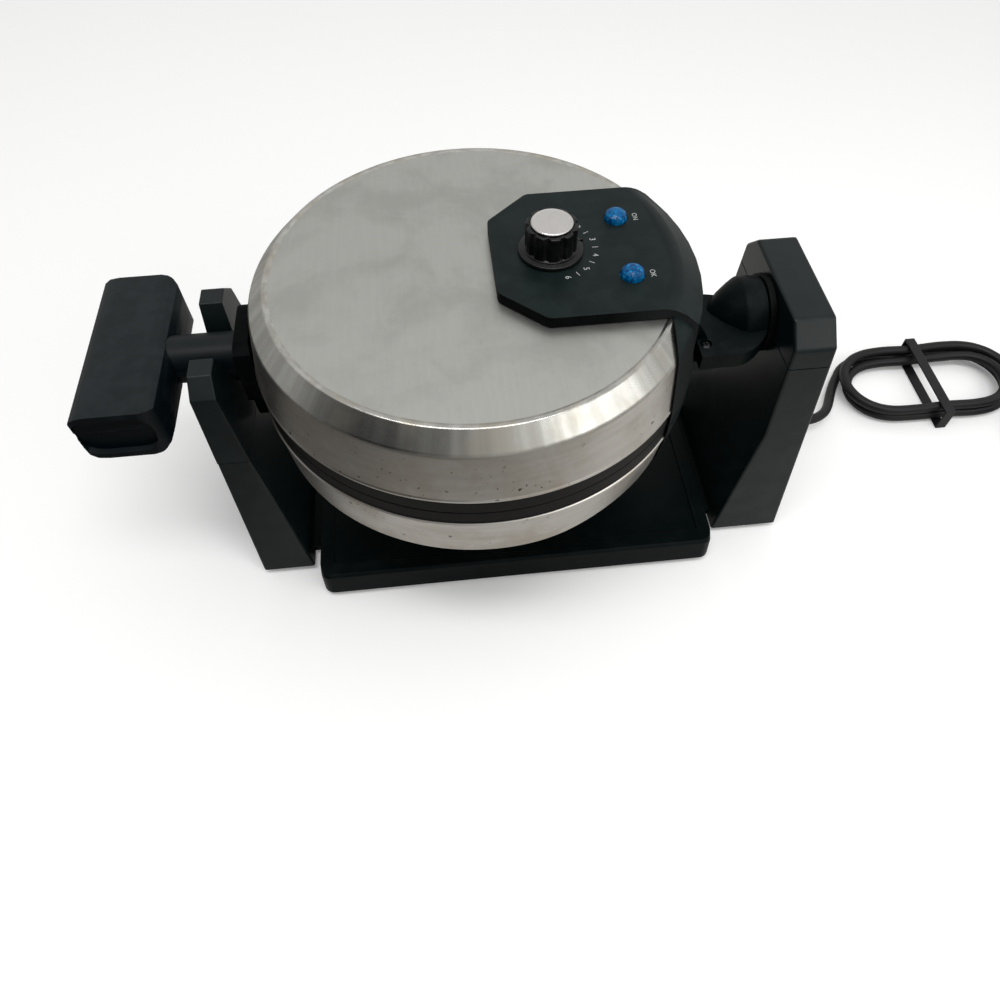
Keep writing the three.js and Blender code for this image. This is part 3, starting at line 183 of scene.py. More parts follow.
def noise(tree, scale, detail=2.0, **more):
    """Noise over the piece, with spots of one metre divided by scale."""
    sockets = {"Vector": here(tree), "Scale": scale, "Detail": detail}
    return add(tree, "TexNoise", sockets | {key.title(): value for key, value in more.items()}).outputs[0]


def ramp(value, low, high, to_low=0.0, to_high=1.0):
    sockets = {"Value": value, "From Min": low, "From Max": high, "To Min": to_low, "To Max": to_high}
    return add(value.id_data, "MapRange", sockets, interpolation_type="SMOOTHSTEP").outputs[0]


def maths(operation, a, b=0.0):
    tree = (a if isinstance(a, bpy.types.NodeSocket) else b).id_data
    return add(tree, "Math", {0: a, 1: b}, operation=operation).outputs[0]


def times(a, b):
    return maths("MULTIPLY", a, b)


def plus(a, b):
    return maths("ADD", a, b)


def per_mm(size):
    """The scale of a texture whose spots have this size in millimetres."""
    return maths("DIVIDE", 1000.0, size)


def mixed(factor, a, b):
    """Two colours mixed by a mask."""
    node = add(factor.id_data, "Mix", data_type="RGBA")
    for key, value in (("Factor", factor), ("A", a), ("B", b)):
        socket = [s for s in node.inputs if s.name == key and s.enabled][0]
        if isinstance(value, bpy.types.NodeSocket):
            link(value, socket)
        else:
            socket.default_value = value
    return [s for s in node.outputs if s.enabled][0]


def moulded_grain():
    """Fine moulded grain, with broad patches where hands have polished it."""
    tree, take, give = effect("moulded_grain", {"Grain Size": 0.6, "Patch Size": 40.0}, ("Height", "Patch"))
    link(noise(tree, per_mm(take["Grain Size"]), 3.0, roughness=0.65), give["Height"])
    broad = noise(tree, per_mm(take["Patch Size"]), 4.0, distortion=0.4)
    link(ramp(broad, 0.35, 0.68), give["Patch"])
    return tree


def edge_wear():
    """Pale wear along outer edges, broken up so that it isn't a drawn line."""
    flat = 0.51
    tree, take, give = effect("edge_wear", {"Spread": 0.06, "Break": 9.0}, ("Wear",))
    sharpness = add(tree, "NewGeometry").outputs["Pointiness"]
    sockets = {"Value": sharpness, "From Min": flat, "From Max": plus(flat, take["Spread"])}
    edge = add(tree, "MapRange", sockets).outputs[0]
    broken = noise(tree, per_mm(take["Break"]), 5.0)
    link(times(edge, ramp(broken, 0.38, 0.62, 0.25, 1.0)), give["Wear"])
    return tree


def dust_and_painted_top_light():
    """Dust: thin on walls, thicker on faces that look up, gathered in soft spots; and painted top light: an
    even pale share on faces that look up, standing for the light that falls on them.
    """
    tree, take, give = effect("dust_and_painted_top_light", {"Spot Size": 18.0}, ("Dust", "Painted Top Light"))
    facing = add(tree, "SeparateXYZ", {0: add(tree, "TexCoord").outputs["Normal"]}).outputs[2]
    spots = noise(tree, per_mm(take["Spot Size"]), 6.0, roughness=0.7)
    lint = ramp(noise(tree, 900.0), 0.55, 0.7, 0.0, 0.4)
    dust = times(ramp(facing, 0.2, 0.95, 0.12, 1.0), ramp(spots, 0.42, 0.7))
    link(plus(times(dust, 0.6), times(dust, lint)), give["Dust"])
    # Painted top light: faces that look up get an even paler share, for the light that falls on them.
    painted_top_light = times(ramp(facing, 0.45, 0.98), ramp(spots, 0.2, 0.8, 0.9, 1.0))
    link(painted_top_light, give["Painted Top Light"])
    return tree


grain_group, wear_group, dust_and_top_light_group = moulded_grain(), edge_wear(), dust_and_painted_top_light()


def use(tree, group, **values):
    """A shared effect placed in a material, with its own values."""
    node = tree.nodes.new("ShaderNodeGroup")
    node.node_tree = group
    for key, value in values.items():
        node.inputs[key.replace("_", " ")].default_value = value
    return node.outputs


def blank_material(name, roughness, metallic=0.0, **sockets):
    """A material with its Principled shader; numbers that don't vary are set on its own sockets."""
    material = bpy.data.materials.new(name)
    material.use_nodes = True
    shader = material.node_tree.nodes["Principled BSDF"]
    for key, value in {"Roughness": roughness, "Metallic": metallic, **sockets}.items():
        shader.inputs[key.replace("_", " ")].default_value = value
    return material, material.node_tree, shader.inputs


def surfaced(shader, tone, rough, height, depth_mm, strength=1.0):
    """Gives a shader its colour, its roughness and a relief of so many millimetres."""
    link(tone, shader["Base Color"])
    link(rough, shader["Roughness"])
    sockets = {"Height": height, "Strength": strength, "Distance": depth_mm * MM}
    link(add(height.id_data, "Bump", sockets).outputs[0], shader["Normal"])


def shade_of(colour, share, lift=0.0):
    return (*[c * share + lift for c in colour], 1)


def moulding(
    name, colour, roughness, grain=0.6, grain_depth=0.01, wear=0.2, dust=0.02, shine=0.14, painted_top_light=0.0
):
    """A black or grey plastic or rubber: grain, polished patches, pale edges and a little dust; and, where
    asked, painted top light: a paler tone on faces that look up.
    """
    material, tree, shader = blank_material(name, roughness, Specular_IOR_Level=shine)
    surface, dust_and_light = use(tree, grain_group, Grain_Size=grain), use(tree, dust_and_top_light_group)
    worn = use(tree, wear_group)["Wear"]
    tone = mixed(times(surface["Patch"], 0.03), (*colour, 1), shade_of(colour, 1.9, 0.002))
    tone = mixed(times(worn, wear), tone, shade_of(colour, 3.0, 0.012))
    tone = mixed(times(dust_and_light["Dust"], dust), tone, (0.3, 0.3, 0.29, 1))
    # Painted top light: a pale grey mixed into faces that look up.
    if painted_top_light:
        tone = mixed(times(dust_and_light["Painted Top Light"], painted_top_light), tone, (0.28, 0.3, 0.31, 1))
    rough = plus(plus(times(surface["Patch"], -0.02), roughness), times(dust_and_light["Dust"], 0.1))
    surfaced(shader, tone, rough, surface["Height"], grain_depth)
    return material


def plated(name, colour, roughness, scuff_mm=2.5):
    """Plated or blackened steel with fine wiped scuffs."""
    material, tree, shader = blank_material(name, roughness, 1.0)
    scuff = noise(tree, 1000.0 / scuff_mm, 6.0, distortion=1.2)
    tone = mixed(ramp(scuff, 0.35, 0.7), shade_of(colour, 0.72), (*colour, 1))
    surfaced(shader, tone, ramp(scuff, 0.3, 0.7, roughness - 0.08, roughness + 0.12), scuff, 0.01)
    return material


nickel = plated("nickel_plate", (0.66, 0.64, 0.6), 0.3)
rubber = moulding("lead_rubber", (0.006, 0.006, 0.0065), 0.45, grain=0.9, wear=0.1, shine=0.3)
lead.data.materials.append(rubber)


def settle(piece, body, slot, *nodes):
    """Puts a piece on its body and hides the solids that it stands for; the slot is not used."""
    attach(piece, body)
    if nodes:
        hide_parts(*nodes)
    return piece


def finished(name, mesh, materials, body, slot, *nodes, crease=34.0):
    """Shades a mesh smooth between its creases and puts it on its body."""
    mesh.shade_smooth()
    mesh.set_sharp_from_angle(angle=math.radians(crease))
    piece = placed(name, mesh)
    for material in materials:
        mesh.materials.append(material)
    even = piece.modifiers.new("even_faces", "WEIGHTED_NORMAL")
    even.keep_sharp = True
    return settle(piece, body, slot, *nodes)


@contextmanager
def reshaped(mesh):
    """Opens a mesh for a change of shape and writes it back."""
    shape = bmesh.new()
    shape.from_mesh(mesh)
    yield shape
    shape.to_mesh(mesh)
    shape.free()


LONG_EDGE, ON_SEAM, ROOM = 5.0, 0.3, 2.2
SAME_POINT, FLAT_BEND, HARD_BEND, BROAD_STEPS = 0.002, math.radians(1), math.radians(25), 5


def round_off(shape, edges, width, steps):
    bmesh.ops.bevel(
        shape,
        geom=edges,
        offset=width * MM,
        offset_type="OFFSET",
        segments=steps,
        profile=0.5,
        affect="EDGES",
        clamp_overlap=True,
        miter_outer="ARC",
    )


def is_outer(edge, width, seams, least_angle):
    """A long outward edge between two faces that have room for the rounding, and not on a seam."""
    length = edge.calc_length()
    shallow = edge.is_manifold and edge.calc_face_angle_signed(0.0) < math.radians(least_angle)
    if not edge.is_manifold or length < LONG_EDGE * MM or shallow:
        return False
    for seam in seams:
        if all(abs(v.co.z / MM - seam) < ON_SEAM for v in edge.verts):
            return False
    return all(face.calc_area() / length > ROOM * width * MM for face in edge.link_faces)


def moulded_piece(
    name, node, material, width, body, slot, steps=3, broad=0.0, seams=(), broad_angle=35.0, reshape=None
):
    """The moulding of a solid, with its hard edges drawn round as a real one's are."""
    mesh = bpy.data.objects[node].data.copy()
    mesh.materials.clear()
    with reshaped(mesh) as shape:
        bmesh.ops.remove_doubles(shape, verts=shape.verts, dist=SAME_POINT * MM)
        bmesh.ops.dissolve_limit(shape, angle_limit=FLAT_BEND, verts=shape.verts, edges=shape.edges)
        if reshape:
            reshape(shape)
        if broad:
            outer = [e for e in shape.edges if is_outer(e, broad, seams, broad_angle)]
            round_off(shape, outer, broad, BROAD_STEPS)
        hard = [e for e in shape.edges if e.is_manifold and e.calc_face_angle(0.0) > HARD_BEND]
        round_off(shape, hard, width, steps)
    return finished(name, mesh, [material], body, slot, node)


def second_material(piece, material, belongs):
    """Gives the faces that belong to it another material."""
    piece.data.materials.append(material)
    for face in piece.data.polygons:
        face.material_index = 1 if belongs(face) else 0


def corner_arcs(points, radius, steps=5):
    """A run of (radius, height) points with its corners rounded by true arcs, of one radius or a list."""
    out = [Vector(points[0])]
    radii = radius if isinstance(radius, list) else [radius] * (len(points) - 2)
    for before, corner_at, after, corner in zip(points, points[1:], points[2:], radii):
        p, q, r = Vector(before), Vector(corner_at), Vector(after)
        a, b = (p - q), (r - q)
        if min(a.length, b.length) < 1e-6:
            continue
        half = a.angle(b) / 2
        if half > math.radians(88):
            out.append(q)
            continue
        back = min(corner / math.tan(half), a.length * 0.49, b.length * 0.49)
        size = back * math.tan(half)
        middle = q + (a.normalized() + b.normalized()).normalized() * (size / math.sin(half))
        first = q + a.normalized() * back - middle
        turn = (q + b.normalized() * back - middle).angle_signed(first)
        out += [middle + Matrix.Rotation(turn * i / steps, 2) @ first for i in range(steps + 1)]
    out.append(Vector(points[-1]))
    return out


def closed_mesh(name, vertices, faces):
    mesh = bpy.data.meshes.new(name)
    mesh.from_pydata(vertices, [], faces)
    with reshaped(mesh) as shape:
        bmesh.ops.recalc_face_normals(shape, faces=shape.faces)
    return mesh


def turned_mesh(name, profile, centre, axis="z", sides=96):
    """A turned form from (radius, height) points; it closes on its axis or on itself."""
    vertices, rings, faces = [], [], []
    for radius, height in profile:
        ring = []
        for i in range(1 if radius < 1e-6 else sides):
            angle = 2 * math.pi * i / sides
            u, v = radius * math.cos(angle), radius * math.sin(angle)
            local = {"z": (u, v, height), "x": (height, u, v), "y": (v, height, u)}[axis]
            vertices.append(at(*(Vector(local) + Vector(centre))))
            ring.append(len(vertices) - 1)
        rings.append(ring)
    pairs = list(zip(rings, rings[1:]))
    if len(rings[0]) > 1 and len(rings[-1]) > 1:
        pairs.append((rings[-1], rings[0]))
    for low, high in pairs:
        for i in range(sides):
            j = i + 1
            corners = [low[i % len(low)], low[j % len(low)], high[j % len(high)], high[i % len(high)]]
            face = list(dict.fromkeys(corners))
            if len(face) > 2:
                faces.append(face)
    return closed_mesh(name, vertices, faces)


SLEEVE_FLANGE = [(0, 0.6), (8.8, 0.6), (8.8, 2.0), (6.9, 2.4)]
SLEEVE_TIP = [(4.6, 27.4), (4.2, 29.6), (3.3, 29.9), (0, 29.9)]
SLEEVE_RIBS = dict(count=5, first=5.2, pitch=4.6, radius=6.6, taper=0.36, depth=1.5)


def sleeve_profile():
    """A flange, ribs that get smaller, and a thin tip."""
    ribs = []
    for i in range(SLEEVE_RIBS["count"]):
        x = SLEEVE_RIBS["first"] + i * SLEEVE_RIBS["pitch"]
        radius = SLEEVE_RIBS["radius"] - SLEEVE_RIBS["taper"] * i
        groove = radius - SLEEVE_RIBS["depth"]
        ribs += [(radius, x - 1.6), (radius, x + 1.2), (groove, x + 1.6), (groove, x + 2.6)]
    return corner_arcs(SLEEVE_FLANGE + ribs + SLEEVE_TIP, 0.35, 2)


sleeve_form = turned_mesh("lead_sleeve", sleeve_profile(), SLEEVE_ROOT, "x", 48)
sleeve = finished("lead_sleeve", sleeve_form, [rubber], "stand", "soft_black", "strain_relief")
tie_band = moulded_piece("lead_tie_band", "lead_tie", rubber, 0.35, "stand", "soft_black")
PRONG_REACH = 17.0
plug_body = moulded_piece("plug_moulding", "plug", rubber, 0.6, "stand", "soft_black", broad=2.2)
prong_root = min(v.co.y for v in plug_body.data.vertices) + (PRONG_REACH - 0.4) * MM
second_material(plug_body, nickel, lambda face: face.center.y < prong_root)
settle(lead, "stand", "soft_black", "power_lead", "lead_hank")

# Studio: a white table and soft light from above and behind, so that the steel
# shows quiet tones and the black mouldings stay readable. What the steel mirrors
# of the table is darker than the table that is looked at.
TABLE_HALF = 12.0
ROOM_BEHIND_CAMERA = (-0.62, -0.58, 0.53)
BACKDROP_TONE = (0.7, 0.7, 0.695, 1)
table_mesh = bpy.data.meshes.new("table")
table_corners = [(x * TABLE_HALF, y * TABLE_HALF, 0) for x, y in ((-1, -1), (1, -1), (1, 1), (-1, 1))]
table_mesh.from_pydata(table_corners, [], [(0, 1, 2, 3)])
table = placed("table", table_mesh)


def white_paper():
    material, tree, shader = blank_material("white_paper", 0.9, Specular_IOR_Level=0.1)
    fibre = add(tree, "TexNoise", {"Scale": 30.0, "Detail": 2.0}).outputs[0]
    sheet_tone = mixed(fibre, (0.95, 0.95, 0.95, 1), (0.98, 0.98, 0.98, 1))
    x, y, _ = add(tree, "SeparateXYZ", {0: here(tree)}).outputs
    front_tone = mixed(ramp(x, -0.35, 0.45), (0.15, 0.145, 0.14, 1), (0.46, 0.45, 0.43, 1))
    far_tone = mixed(ramp(y, 0.1, 0.8), front_tone, (0.68, 0.68, 0.66, 1))
    near_tray = times(ramp(y, -0.32, -0.17), ramp(x, -0.21, -0.07))
    mirrored = mixed(near_tray, far_tone, (0.7, 0.69, 0.67, 1))
    seen = add(tree, "LightPath").outputs["Is Camera Ray"]
    link(mixed(seen, mirrored, sheet_tone), shader["Base Color"])
    glow = mixed(seen, (0.0, 0.0, 0.0, 1), (0.13, 0.13, 0.13, 1))
    link(glow, shader["Emission Color"])
    shader["Emission Strength"].default_value = 1.0
    return material


table_mesh.materials.append(white_paper())


def studio_world():
    """A pale ceiling, with the darker room behind the camera; looked at, it is one even tone."""
    world = bpy.data.worlds.new("studio")
    world.use_nodes = True
    sky = world.node_tree
    direction = add(sky, "TexCoord").outputs["Generated"]
    x, _, z = add(sky, "SeparateXYZ", {0: direction}).outputs
    towards = add(sky, "VectorMath", {0: direction, 1: ROOM_BEHIND_CAMERA}, operation="DOT_PRODUCT")
    room_shade = ramp(towards.outputs["Value"], 0.58, 1.04, 0.0, 0.56)
    ceiling = plus(ramp(z, -0.1, 0.95, 0.52, 0.74), times(x, 0.12))
    tone = add(sky, "Math", {0: ceiling, 1: room_shade}, operation="SUBTRACT", use_clamp=True).outputs[0]
    room = mixed(tone, (0.0, 0.0, 0.0, 1), (1.0, 1.0, 0.985, 1))
    looked_at = add(sky, "LightPath").outputs["Is Camera Ray"]
    light = sky.nodes["Background"].inputs
    link(mixed(looked_at, room, BACKDROP_TONE), light["Color"])
    light["Strength"].default_value = 1.0
    return world


def soft_light(name, place, aim, size, power, tint=(1.0, 1.0, 1.0)):
    light = placed(name, bpy.data.lights.new(name, "AREA"))
    light.data.shape = "RECTANGLE"
    light.data.size, light.data.size_y = size
    light.data.energy = power
    light.data.color = tint
    light.location = place
    light.rotation_euler = (Vector(aim) - Vector(place)).to_track_quat("-Z", "Y").to_euler()


scene.world = studio_world()
soft_light("window", (0.5, -0.38, 0.5), (0.05, -0.04, 0.13), (0.5, 0.32), 0.88, (1.0, 0.995, 0.975))
soft_light("overhead", (-0.05, -0.3, 1.35), (0, 0, 0.1), (1.1, 0.3), 7.5)
scene.view_settings.view_transform = "Standard"

# Drip tray and feet: a satin black pan that joins the two posts, moulded with soft
# corners, on four rubber feet that are pushed into holes at its corners.
tray_black = moulding(
    "tray_satin", (0.0006, 0.0028, 0.0029), 0.36, grain=0.9, grain_depth=0.005, wear=0.4, dust=0.01, shine=0.1
)
foot_rubber = moulding("foot_rubber", (0.01, 0.01, 0.01), 0.75, wear=0.05)
TRAY_SIDE, TRAY_CORNER = 71.0, 6.5
FOOT_PROFILE = [(0, 0), (6.2, 0), (7, 0.8), (7, 4.1), (4, 4.2), (3.9, 7.2), (0, 7.4)]
FEET_X, FEET_Y = {"front": -92.8, "rear": 125.2}, {"left": 65, "right": -65}


def round_tray_corners(shape):
    """Rounds the four upright corners of the pan, seen from above."""
    outer = [v for v in shape.verts if abs(v.co.y) / MM > TRAY_SIDE]
    ends = min(v.co.x for v in outer), max(v.co.x for v in outer)
    at_end = {v for v in outer if min(abs(v.co.x - end) for end in ends) < 0.1 * MM}
    at_ends = [e for e in shape.edges if set(e.verts) <= at_end]
    upright = [e for e in at_ends if abs(e.verts[0].co.z - e.verts[1].co.z) > MM]
    round_off(shape, upright, TRAY_CORNER, 6)


moulded_piece(
    "tray_moulding", "base_tray", tray_black, 0.9, "stand", "black_plastic", 4, reshape=round_tray_corners
)
for end, foot_x in FEET_X.items():
    for side, foot_y in FEET_Y.items():
        name = f"{end}_{side}_foot_pad"
        foot_form = turned_mesh(name, corner_arcs(FOOT_PROFILE, 0.5, 3), (foot_x, foot_y, 0), "z", 48)
        finished(name, foot_form, [foot_rubber], "stand", "soft_black", f"foot_{end}_{side}")

# Posts and fork: hollow charcoal mouldings, screwed to the tray's tongues from below.
# The rear post is split at the turning axis, and its cap clamps the bush.
post_grey = moulding(
    "post_charcoal", (0.002, 0.0056, 0.006), 0.38, grain=0.5, wear=0.3, dust=0.008, shine=0.29
)
POST_SEAMS = (4.5, 100.0, 133.0)
for node in ("rear_post", "rear_post_cap", "front_post", "front_fork"):
    name = node.replace("post_cap", "cap") + "_moulding"
    moulded_piece(name, node, post_grey, 0.5, "stand", "black_plastic", broad=1.6, seams=POST_SEAMS)

# Turning joint: a plated steel journal runs in a nylon bush, with a loose nylon washer
# between the drum and the post. A collar behind the bush keeps the journal in and stops
# the cooker after half a turn. The supply passes through the middle.
AXIS = 133.0
ON_AXIS = (0, 0, AXIS)
nylon = moulding(
    "nylon_grey", (0.0015, 0.002, 0.002), 0.5, grain=0.7, grain_depth=0.005, wear=0.05, shine=0.06
)
BUSH = [(9.3, 158), (9.3, 154.8), (12, 154.8), (12, 159.3), (14, 159.3), (14, 160.8), (9.3, 160.8)]


def turned_piece(name, node, profile, centre, axis, material, body, slot, sides=64, rounding=0.25):
    """A turned piece: solid where its outline starts on the axis, and otherwise a ring."""
    solid = profile[0][0] < 1e-6
    run = corner_arcs(profile if solid else [*profile, profile[0]], rounding, 3)
    form = turned_mesh(name, run if solid else run[:-1], centre, axis, sides)
    return finished(name, form, [material], body, slot, node)


def tube(bore, radius, start, end):
    """The outline of a tube, from the middle of its bore."""
    return [(bore, (start + end) / 2), (bore, start), (radius, start), (radius, end), (bore, end)]


def rod(radius, start, end):
    return [(0, start), (radius, start), (radius, end), (0, end)]


journal = tube(bore=4.4, radius=9.0, start=145.4, end=170.5)
washer = tube(bore=9.3, radius=20.3, start=150.45, end=154.05)
supply = rod(radius=3.2, start=112.4, end=165.1)
turned_piece("journal_tube", "hub_journal", journal, ON_AXIS, "x", nickel, "cooker_base", "plated_steel")
turned_piece("loose_washer", "thrust_washer", washer, ON_AXIS, "x", nylon, "washer", "nylon", 96, 0.5)
turned_piece("bush_ring", "hub_bush", BUSH, ON_AXIS, "x", nylon, "stand", "nylon")
turned_piece(
    "inner_supply_lead", "rotor_lead", supply, ON_AXIS, "x", rubber, "cooker_base", "soft_black", 24
)
moulded_piece("stop_collar_ring", "stop_collar", nickel, 0.3, "cooker_base", "plated_steel")

# Hub: one charcoal moulding. Its flat bracket is screwed to the lower housing's shelf
# and swells into the round drum at the post; two lugs hold the hinge pin.
# Painted top light: a little of the pale tone on the hub's faces that look up.
body_charcoal = moulding(
    "body_charcoal", (0.0005, 0.0024, 0.0026), 0.46, grain=0.45, wear=0.2, shine=0.07, painted_top_light=0.004
)
HUB_TOP, HUB_BOTTOM = 5.0, -3.6
BELL_NOSE, BELL_DRUM = 121.9, 141.3
BELL_SHARES = [(0.0, 1.0), (0.18, 0.93), (0.5, 0.88), (0.84, 0.96), (1.0, 1.0)]
ON_FLAT, LEAST_SQUARE = 0.05, 0.04


def between(points, value):
    """The height of a line through points at a value along it."""
    for (x, y), (next_x, next_y) in zip(points, points[1:]):
        if value <= next_x:
            return y + (next_y - y) * max(0.0, value - x) / max(1e-9, next_x - x)
    return points[-1][1]


def draw_bell_in(shape):
    """Gives the swell of the drum a straighter flank above and below the flat bracket."""
    bell = []
    for vertex in shape.verts:
        x, rise = vertex.co.x / MM - ORIGIN_X, vertex.co.z / MM - AXIS
        if BELL_NOSE < x < BELL_DRUM:
            bell.append((vertex, x, vertex.co.y / MM, rise, math.hypot(vertex.co.y / MM, rise)))
    swell = sorted((x, radius) for _, x, _, rise, radius in bell if rise > HUB_TOP + 0.2)
    for vertex, x, y, rise, radius in bell:
        if abs(radius - between(swell, x)) > 0.4:
            continue
        share = between(BELL_SHARES, (x - BELL_NOSE) / (BELL_DRUM - BELL_NOSE))
        if min(abs(rise - HUB_TOP), abs(rise - HUB_BOTTOM)) < ON_FLAT:
            half_width = math.sqrt(max((radius * share) ** 2 - rise**2, LEAST_SQUARE))
            vertex.co.y = math.copysign(half_width, y) * MM
            continue
        lowered = rise * share
        if rise > HUB_TOP:
            lowered = max(lowered, HUB_TOP + ON_FLAT)
        elif rise < HUB_BOTTOM:
            lowered = min(lowered, HUB_BOTTOM - ON_FLAT)
        vertex.co.y, vertex.co.z = y * share * MM, (AXIS + lowered) * MM


moulded_piece("hub_moulding", "hub", body_charcoal, 0.6, "cooker_base", "black_plastic", reshape=draw_bell_in)

# Screws: black steel with a pan head and a rolled thread. Two hold the hub's bracket
# from above and have a cross in the head. Four hold the posts on the tray from below,
# where their plain heads aren't seen.
black_oxide = plated("black_oxide", (0.055, 0.055, 0.06), 0.4)
HUB_SCREW = dict(head_base=AXIS + 3.35, head_top=AXIS + 4.8, head=2.9, shank=1.8, tip=AXIS - 9.4)
POST_SCREW = dict(head_base=4.1, head_top=2.3, head=4.0, shank=2.0, tip=15.1)
HUB_SCREW_X, HUB_SCREWS_Y = 116.2, {"left": 11.2, "right": -24.7}
POST_SCREWS_X, POST_SCREWS_Y = ((-139.2 - 108) / 2, (181.6 + 140.4) / 2), (22, -22)  # X is each post's middle


def carved(mesh, tool):
    """The first closed mesh with the second cut out of it."""
    body, cutter = placed("carved", mesh), placed("tool", tool)
    modifier = body.modifiers.new("cut", "BOOLEAN")
    modifier.object, modifier.operation, modifier.solver = cutter, "DIFFERENCE", "EXACT"
    result = bpy.data.meshes.new_from_object(body.evaluated_get(bpy.context.evaluated_depsgraph_get()))
    for item in (body, cutter):
        bpy.data.objects.remove(item)
    return result


def bar_mesh(low, high, bevel=0.0, steps=2, taper=1.0):
    """A block between two corners in the part's millimetres; taper draws its lower face in."""
    low, high = Vector(low), Vector(high)
    mesh = bpy.data.meshes.new("bar")
    with reshaped(mesh) as shape:
        bmesh.ops.create_cube(shape, size=1.0)
        for vertex in shape.verts:
            share = vertex.co + Vector((0.5, 0.5, 0.5))
            if share.z < 0.5 and taper != 1.0:
                share.x, share.y = 0.5 + (share.x - 0.5) * taper, 0.5 + (share.y - 0.5) * taper
            vertex.co = at(*[a + (b - a) * s for a, b, s in zip(low, high, share)])
        if bevel:
            edges = list(shape.edges)
            bmesh.ops.bevel(shape, geom=edges, offset=bevel * MM, segments=steps, profile=0.5, affect="EDGES")
    return mesh


def screw_mesh(name, x, y, head_base, head_top, head, shank, tip):
    """A pan head, and on its other side a shank with a thread of 1 mm pitch."""
    half_turn = math.copysign(0.5, tip - head_base)
    shoulder = head_base + (head_top - head_base) * 0.35
    profile = [(0, head_top), (head * 0.55, head_top), (head, shoulder), (head, head_base)]
    profile.append((shank, head_base))
    for i in range(int(abs(tip - head_base)) - 1):
        root = head_base + half_turn + i * half_turn * 2
        profile += [(shank * 0.84, root), (shank, root + half_turn)]
    return turned_mesh(name, [*profile, (shank * 0.6, tip), (0, tip)], (x, y, 0), "z", 32)


def with_cross(mesh, x, y, sizes):
    """Cuts a cross into a head that faces up."""
    head, high = sizes["head"], sizes["head_top"] + 1
    low = sizes["head_top"] - (sizes["head_top"] - sizes["head_base"]) * 0.6
    for along, across in ((head * 0.55, head * 0.14), (head * 0.14, head * 0.55)):
        mesh = carved(mesh, bar_mesh((x - along, y - across, low), (x + along, y + across, high)))
    return mesh


def screw(node, x, y, body, sizes, cross=False):
    name = f"{node}_cross_head"
    mesh = screw_mesh(name, x, y, **sizes)
    if cross:
        mesh = with_cross(mesh, x, y, sizes)
    finished(name, mesh, [black_oxide], body, "black_steel", node)


for side, screw_y in HUB_SCREWS_Y.items():
    screw(f"hub_screw_{side}", HUB_SCREW_X, screw_y, "cooker_base", HUB_SCREW, cross=True)
for i, (screw_x, screw_y) in enumerate([(x, y) for x in POST_SCREWS_X for y in POST_SCREWS_Y], 1):
    screw(f"post_screw_{i}", screw_x, screw_y, "stand", POST_SCREW)

# Steel covers: spun stainless lids, satin on the flat, brushed round the chamfer and
# wiped on the wall, where small burnt-on specks have stayed. Each is held by its rim.
BRUSHED_RADIUS = 111.0


def round_run(tree):
    """Millimetres across strokes that run round the cover, and along them."""
    from_middle = add(tree, "VectorMath", {0: here(tree), 1: at(*ON_AXIS)}, operation="SUBTRACT")
    x, y, z = add(tree, "SeparateXYZ", {0: from_middle.outputs[0]}).outputs
    radius = maths("SQRT", plus(times(x, x), times(y, y)))
    across = times(plus(radius, maths("ABSOLUTE", z)), 1000.0)
    return across, times(maths("ARCTAN2", y, x), BRUSHED_RADIUS)


def straight_run(tree):
    """Millimetres across strokes that run from front to back, and along them."""
    x, y, _ = add(tree, "SeparateXYZ", {0: here(tree)}).outputs
    return times(x, 1000.0), times(y, 1000.0)


def brushing(name, run, line, length, detail, roughness, bands_by):
    """Fine strokes, and broader bands that run with them."""
    tree, take, give = effect(name, {"Line Size": line, "Length": length}, ("Height", "Streak"))
    across, along = run(tree)
    lines = maths("DIVIDE", across, take["Line Size"])
    stroke = maths("DIVIDE", along, take["Length"])
    laid = add(tree, "CombineXYZ", {0: lines, 1: stroke, 2: 0.0}).outputs[0]
    fine = {"Vector": laid, "Scale": 1.0, "Detail": detail, "Roughness": roughness}
    link(add(tree, "TexNoise", fine).outputs[0], give["Height"])
    broad = add(tree, "VectorMath", {0: laid, 1: bands_by}, operation="MULTIPLY").outputs[0]
    bands = add(tree, "TexNoise", {"Vector": broad, "Scale": 1.0, "Detail": 2.0}).outputs[0]
    link(ramp(bands, 0.35, 0.65), give["Streak"])
    return tree


def specks_and_stains():
    """Broad faint blotches, and small dark spots of burnt batter near the rims."""
    sizes = {"Speck Size": 3.2, "Amount": 0.5, "Blotch": 42.0}
    tree, take, give = effect("specks_and_stains", sizes, ("Speck", "Stain"))
    bent = add(tree, "TexNoise", {"Vector": here(tree), "Scale": 300.0, "Detail": 3.0}).outputs[1]
    shift = {0: bent, 1: (0.004, 0.004, 0.004), 2: here(tree)}
    shifted = add(tree, "VectorMath", shift, operation="MULTIPLY_ADD").outputs[0]
    cell_scale = per_mm(take["Speck Size"])
    cells = add(tree, "TexVoronoi", {"Vector": shifted, "Scale": cell_scale}).outputs
    chance, size, _ = add(tree, "SeparateColor", {0: cells["Color"]}).outputs
    wanted = maths("LESS_THAN", chance, take["Amount"])
    reach = times(maths("POWER", size, 4.0), 0.2)
    spot = ramp(maths("SUBTRACT", cells["Distance"], reach), 0.07, 0.16, 1.0, 0.0)
    height = add(tree, "SeparateXYZ", {0: here(tree)}).outputs[2]
    off_middle = maths("ABSOLUTE", maths("SUBTRACT", height, AXIS * MM))
    near_rim = ramp(off_middle, 10 * MM, 40 * MM, 1.0, 0.08)
    clusters = times(ramp(noise(tree, 34.0, 1.0), 0.38, 0.56), near_rim)
    link(times(times(spot, wanted), clusters), give["Speck"])
    cloud = noise(tree, per_mm(take["Blotch"]), 6.0, roughness=0.62, distortion=0.3)
    link(ramp(cloud, 0.4, 0.66), give["Stain"])
    return tree


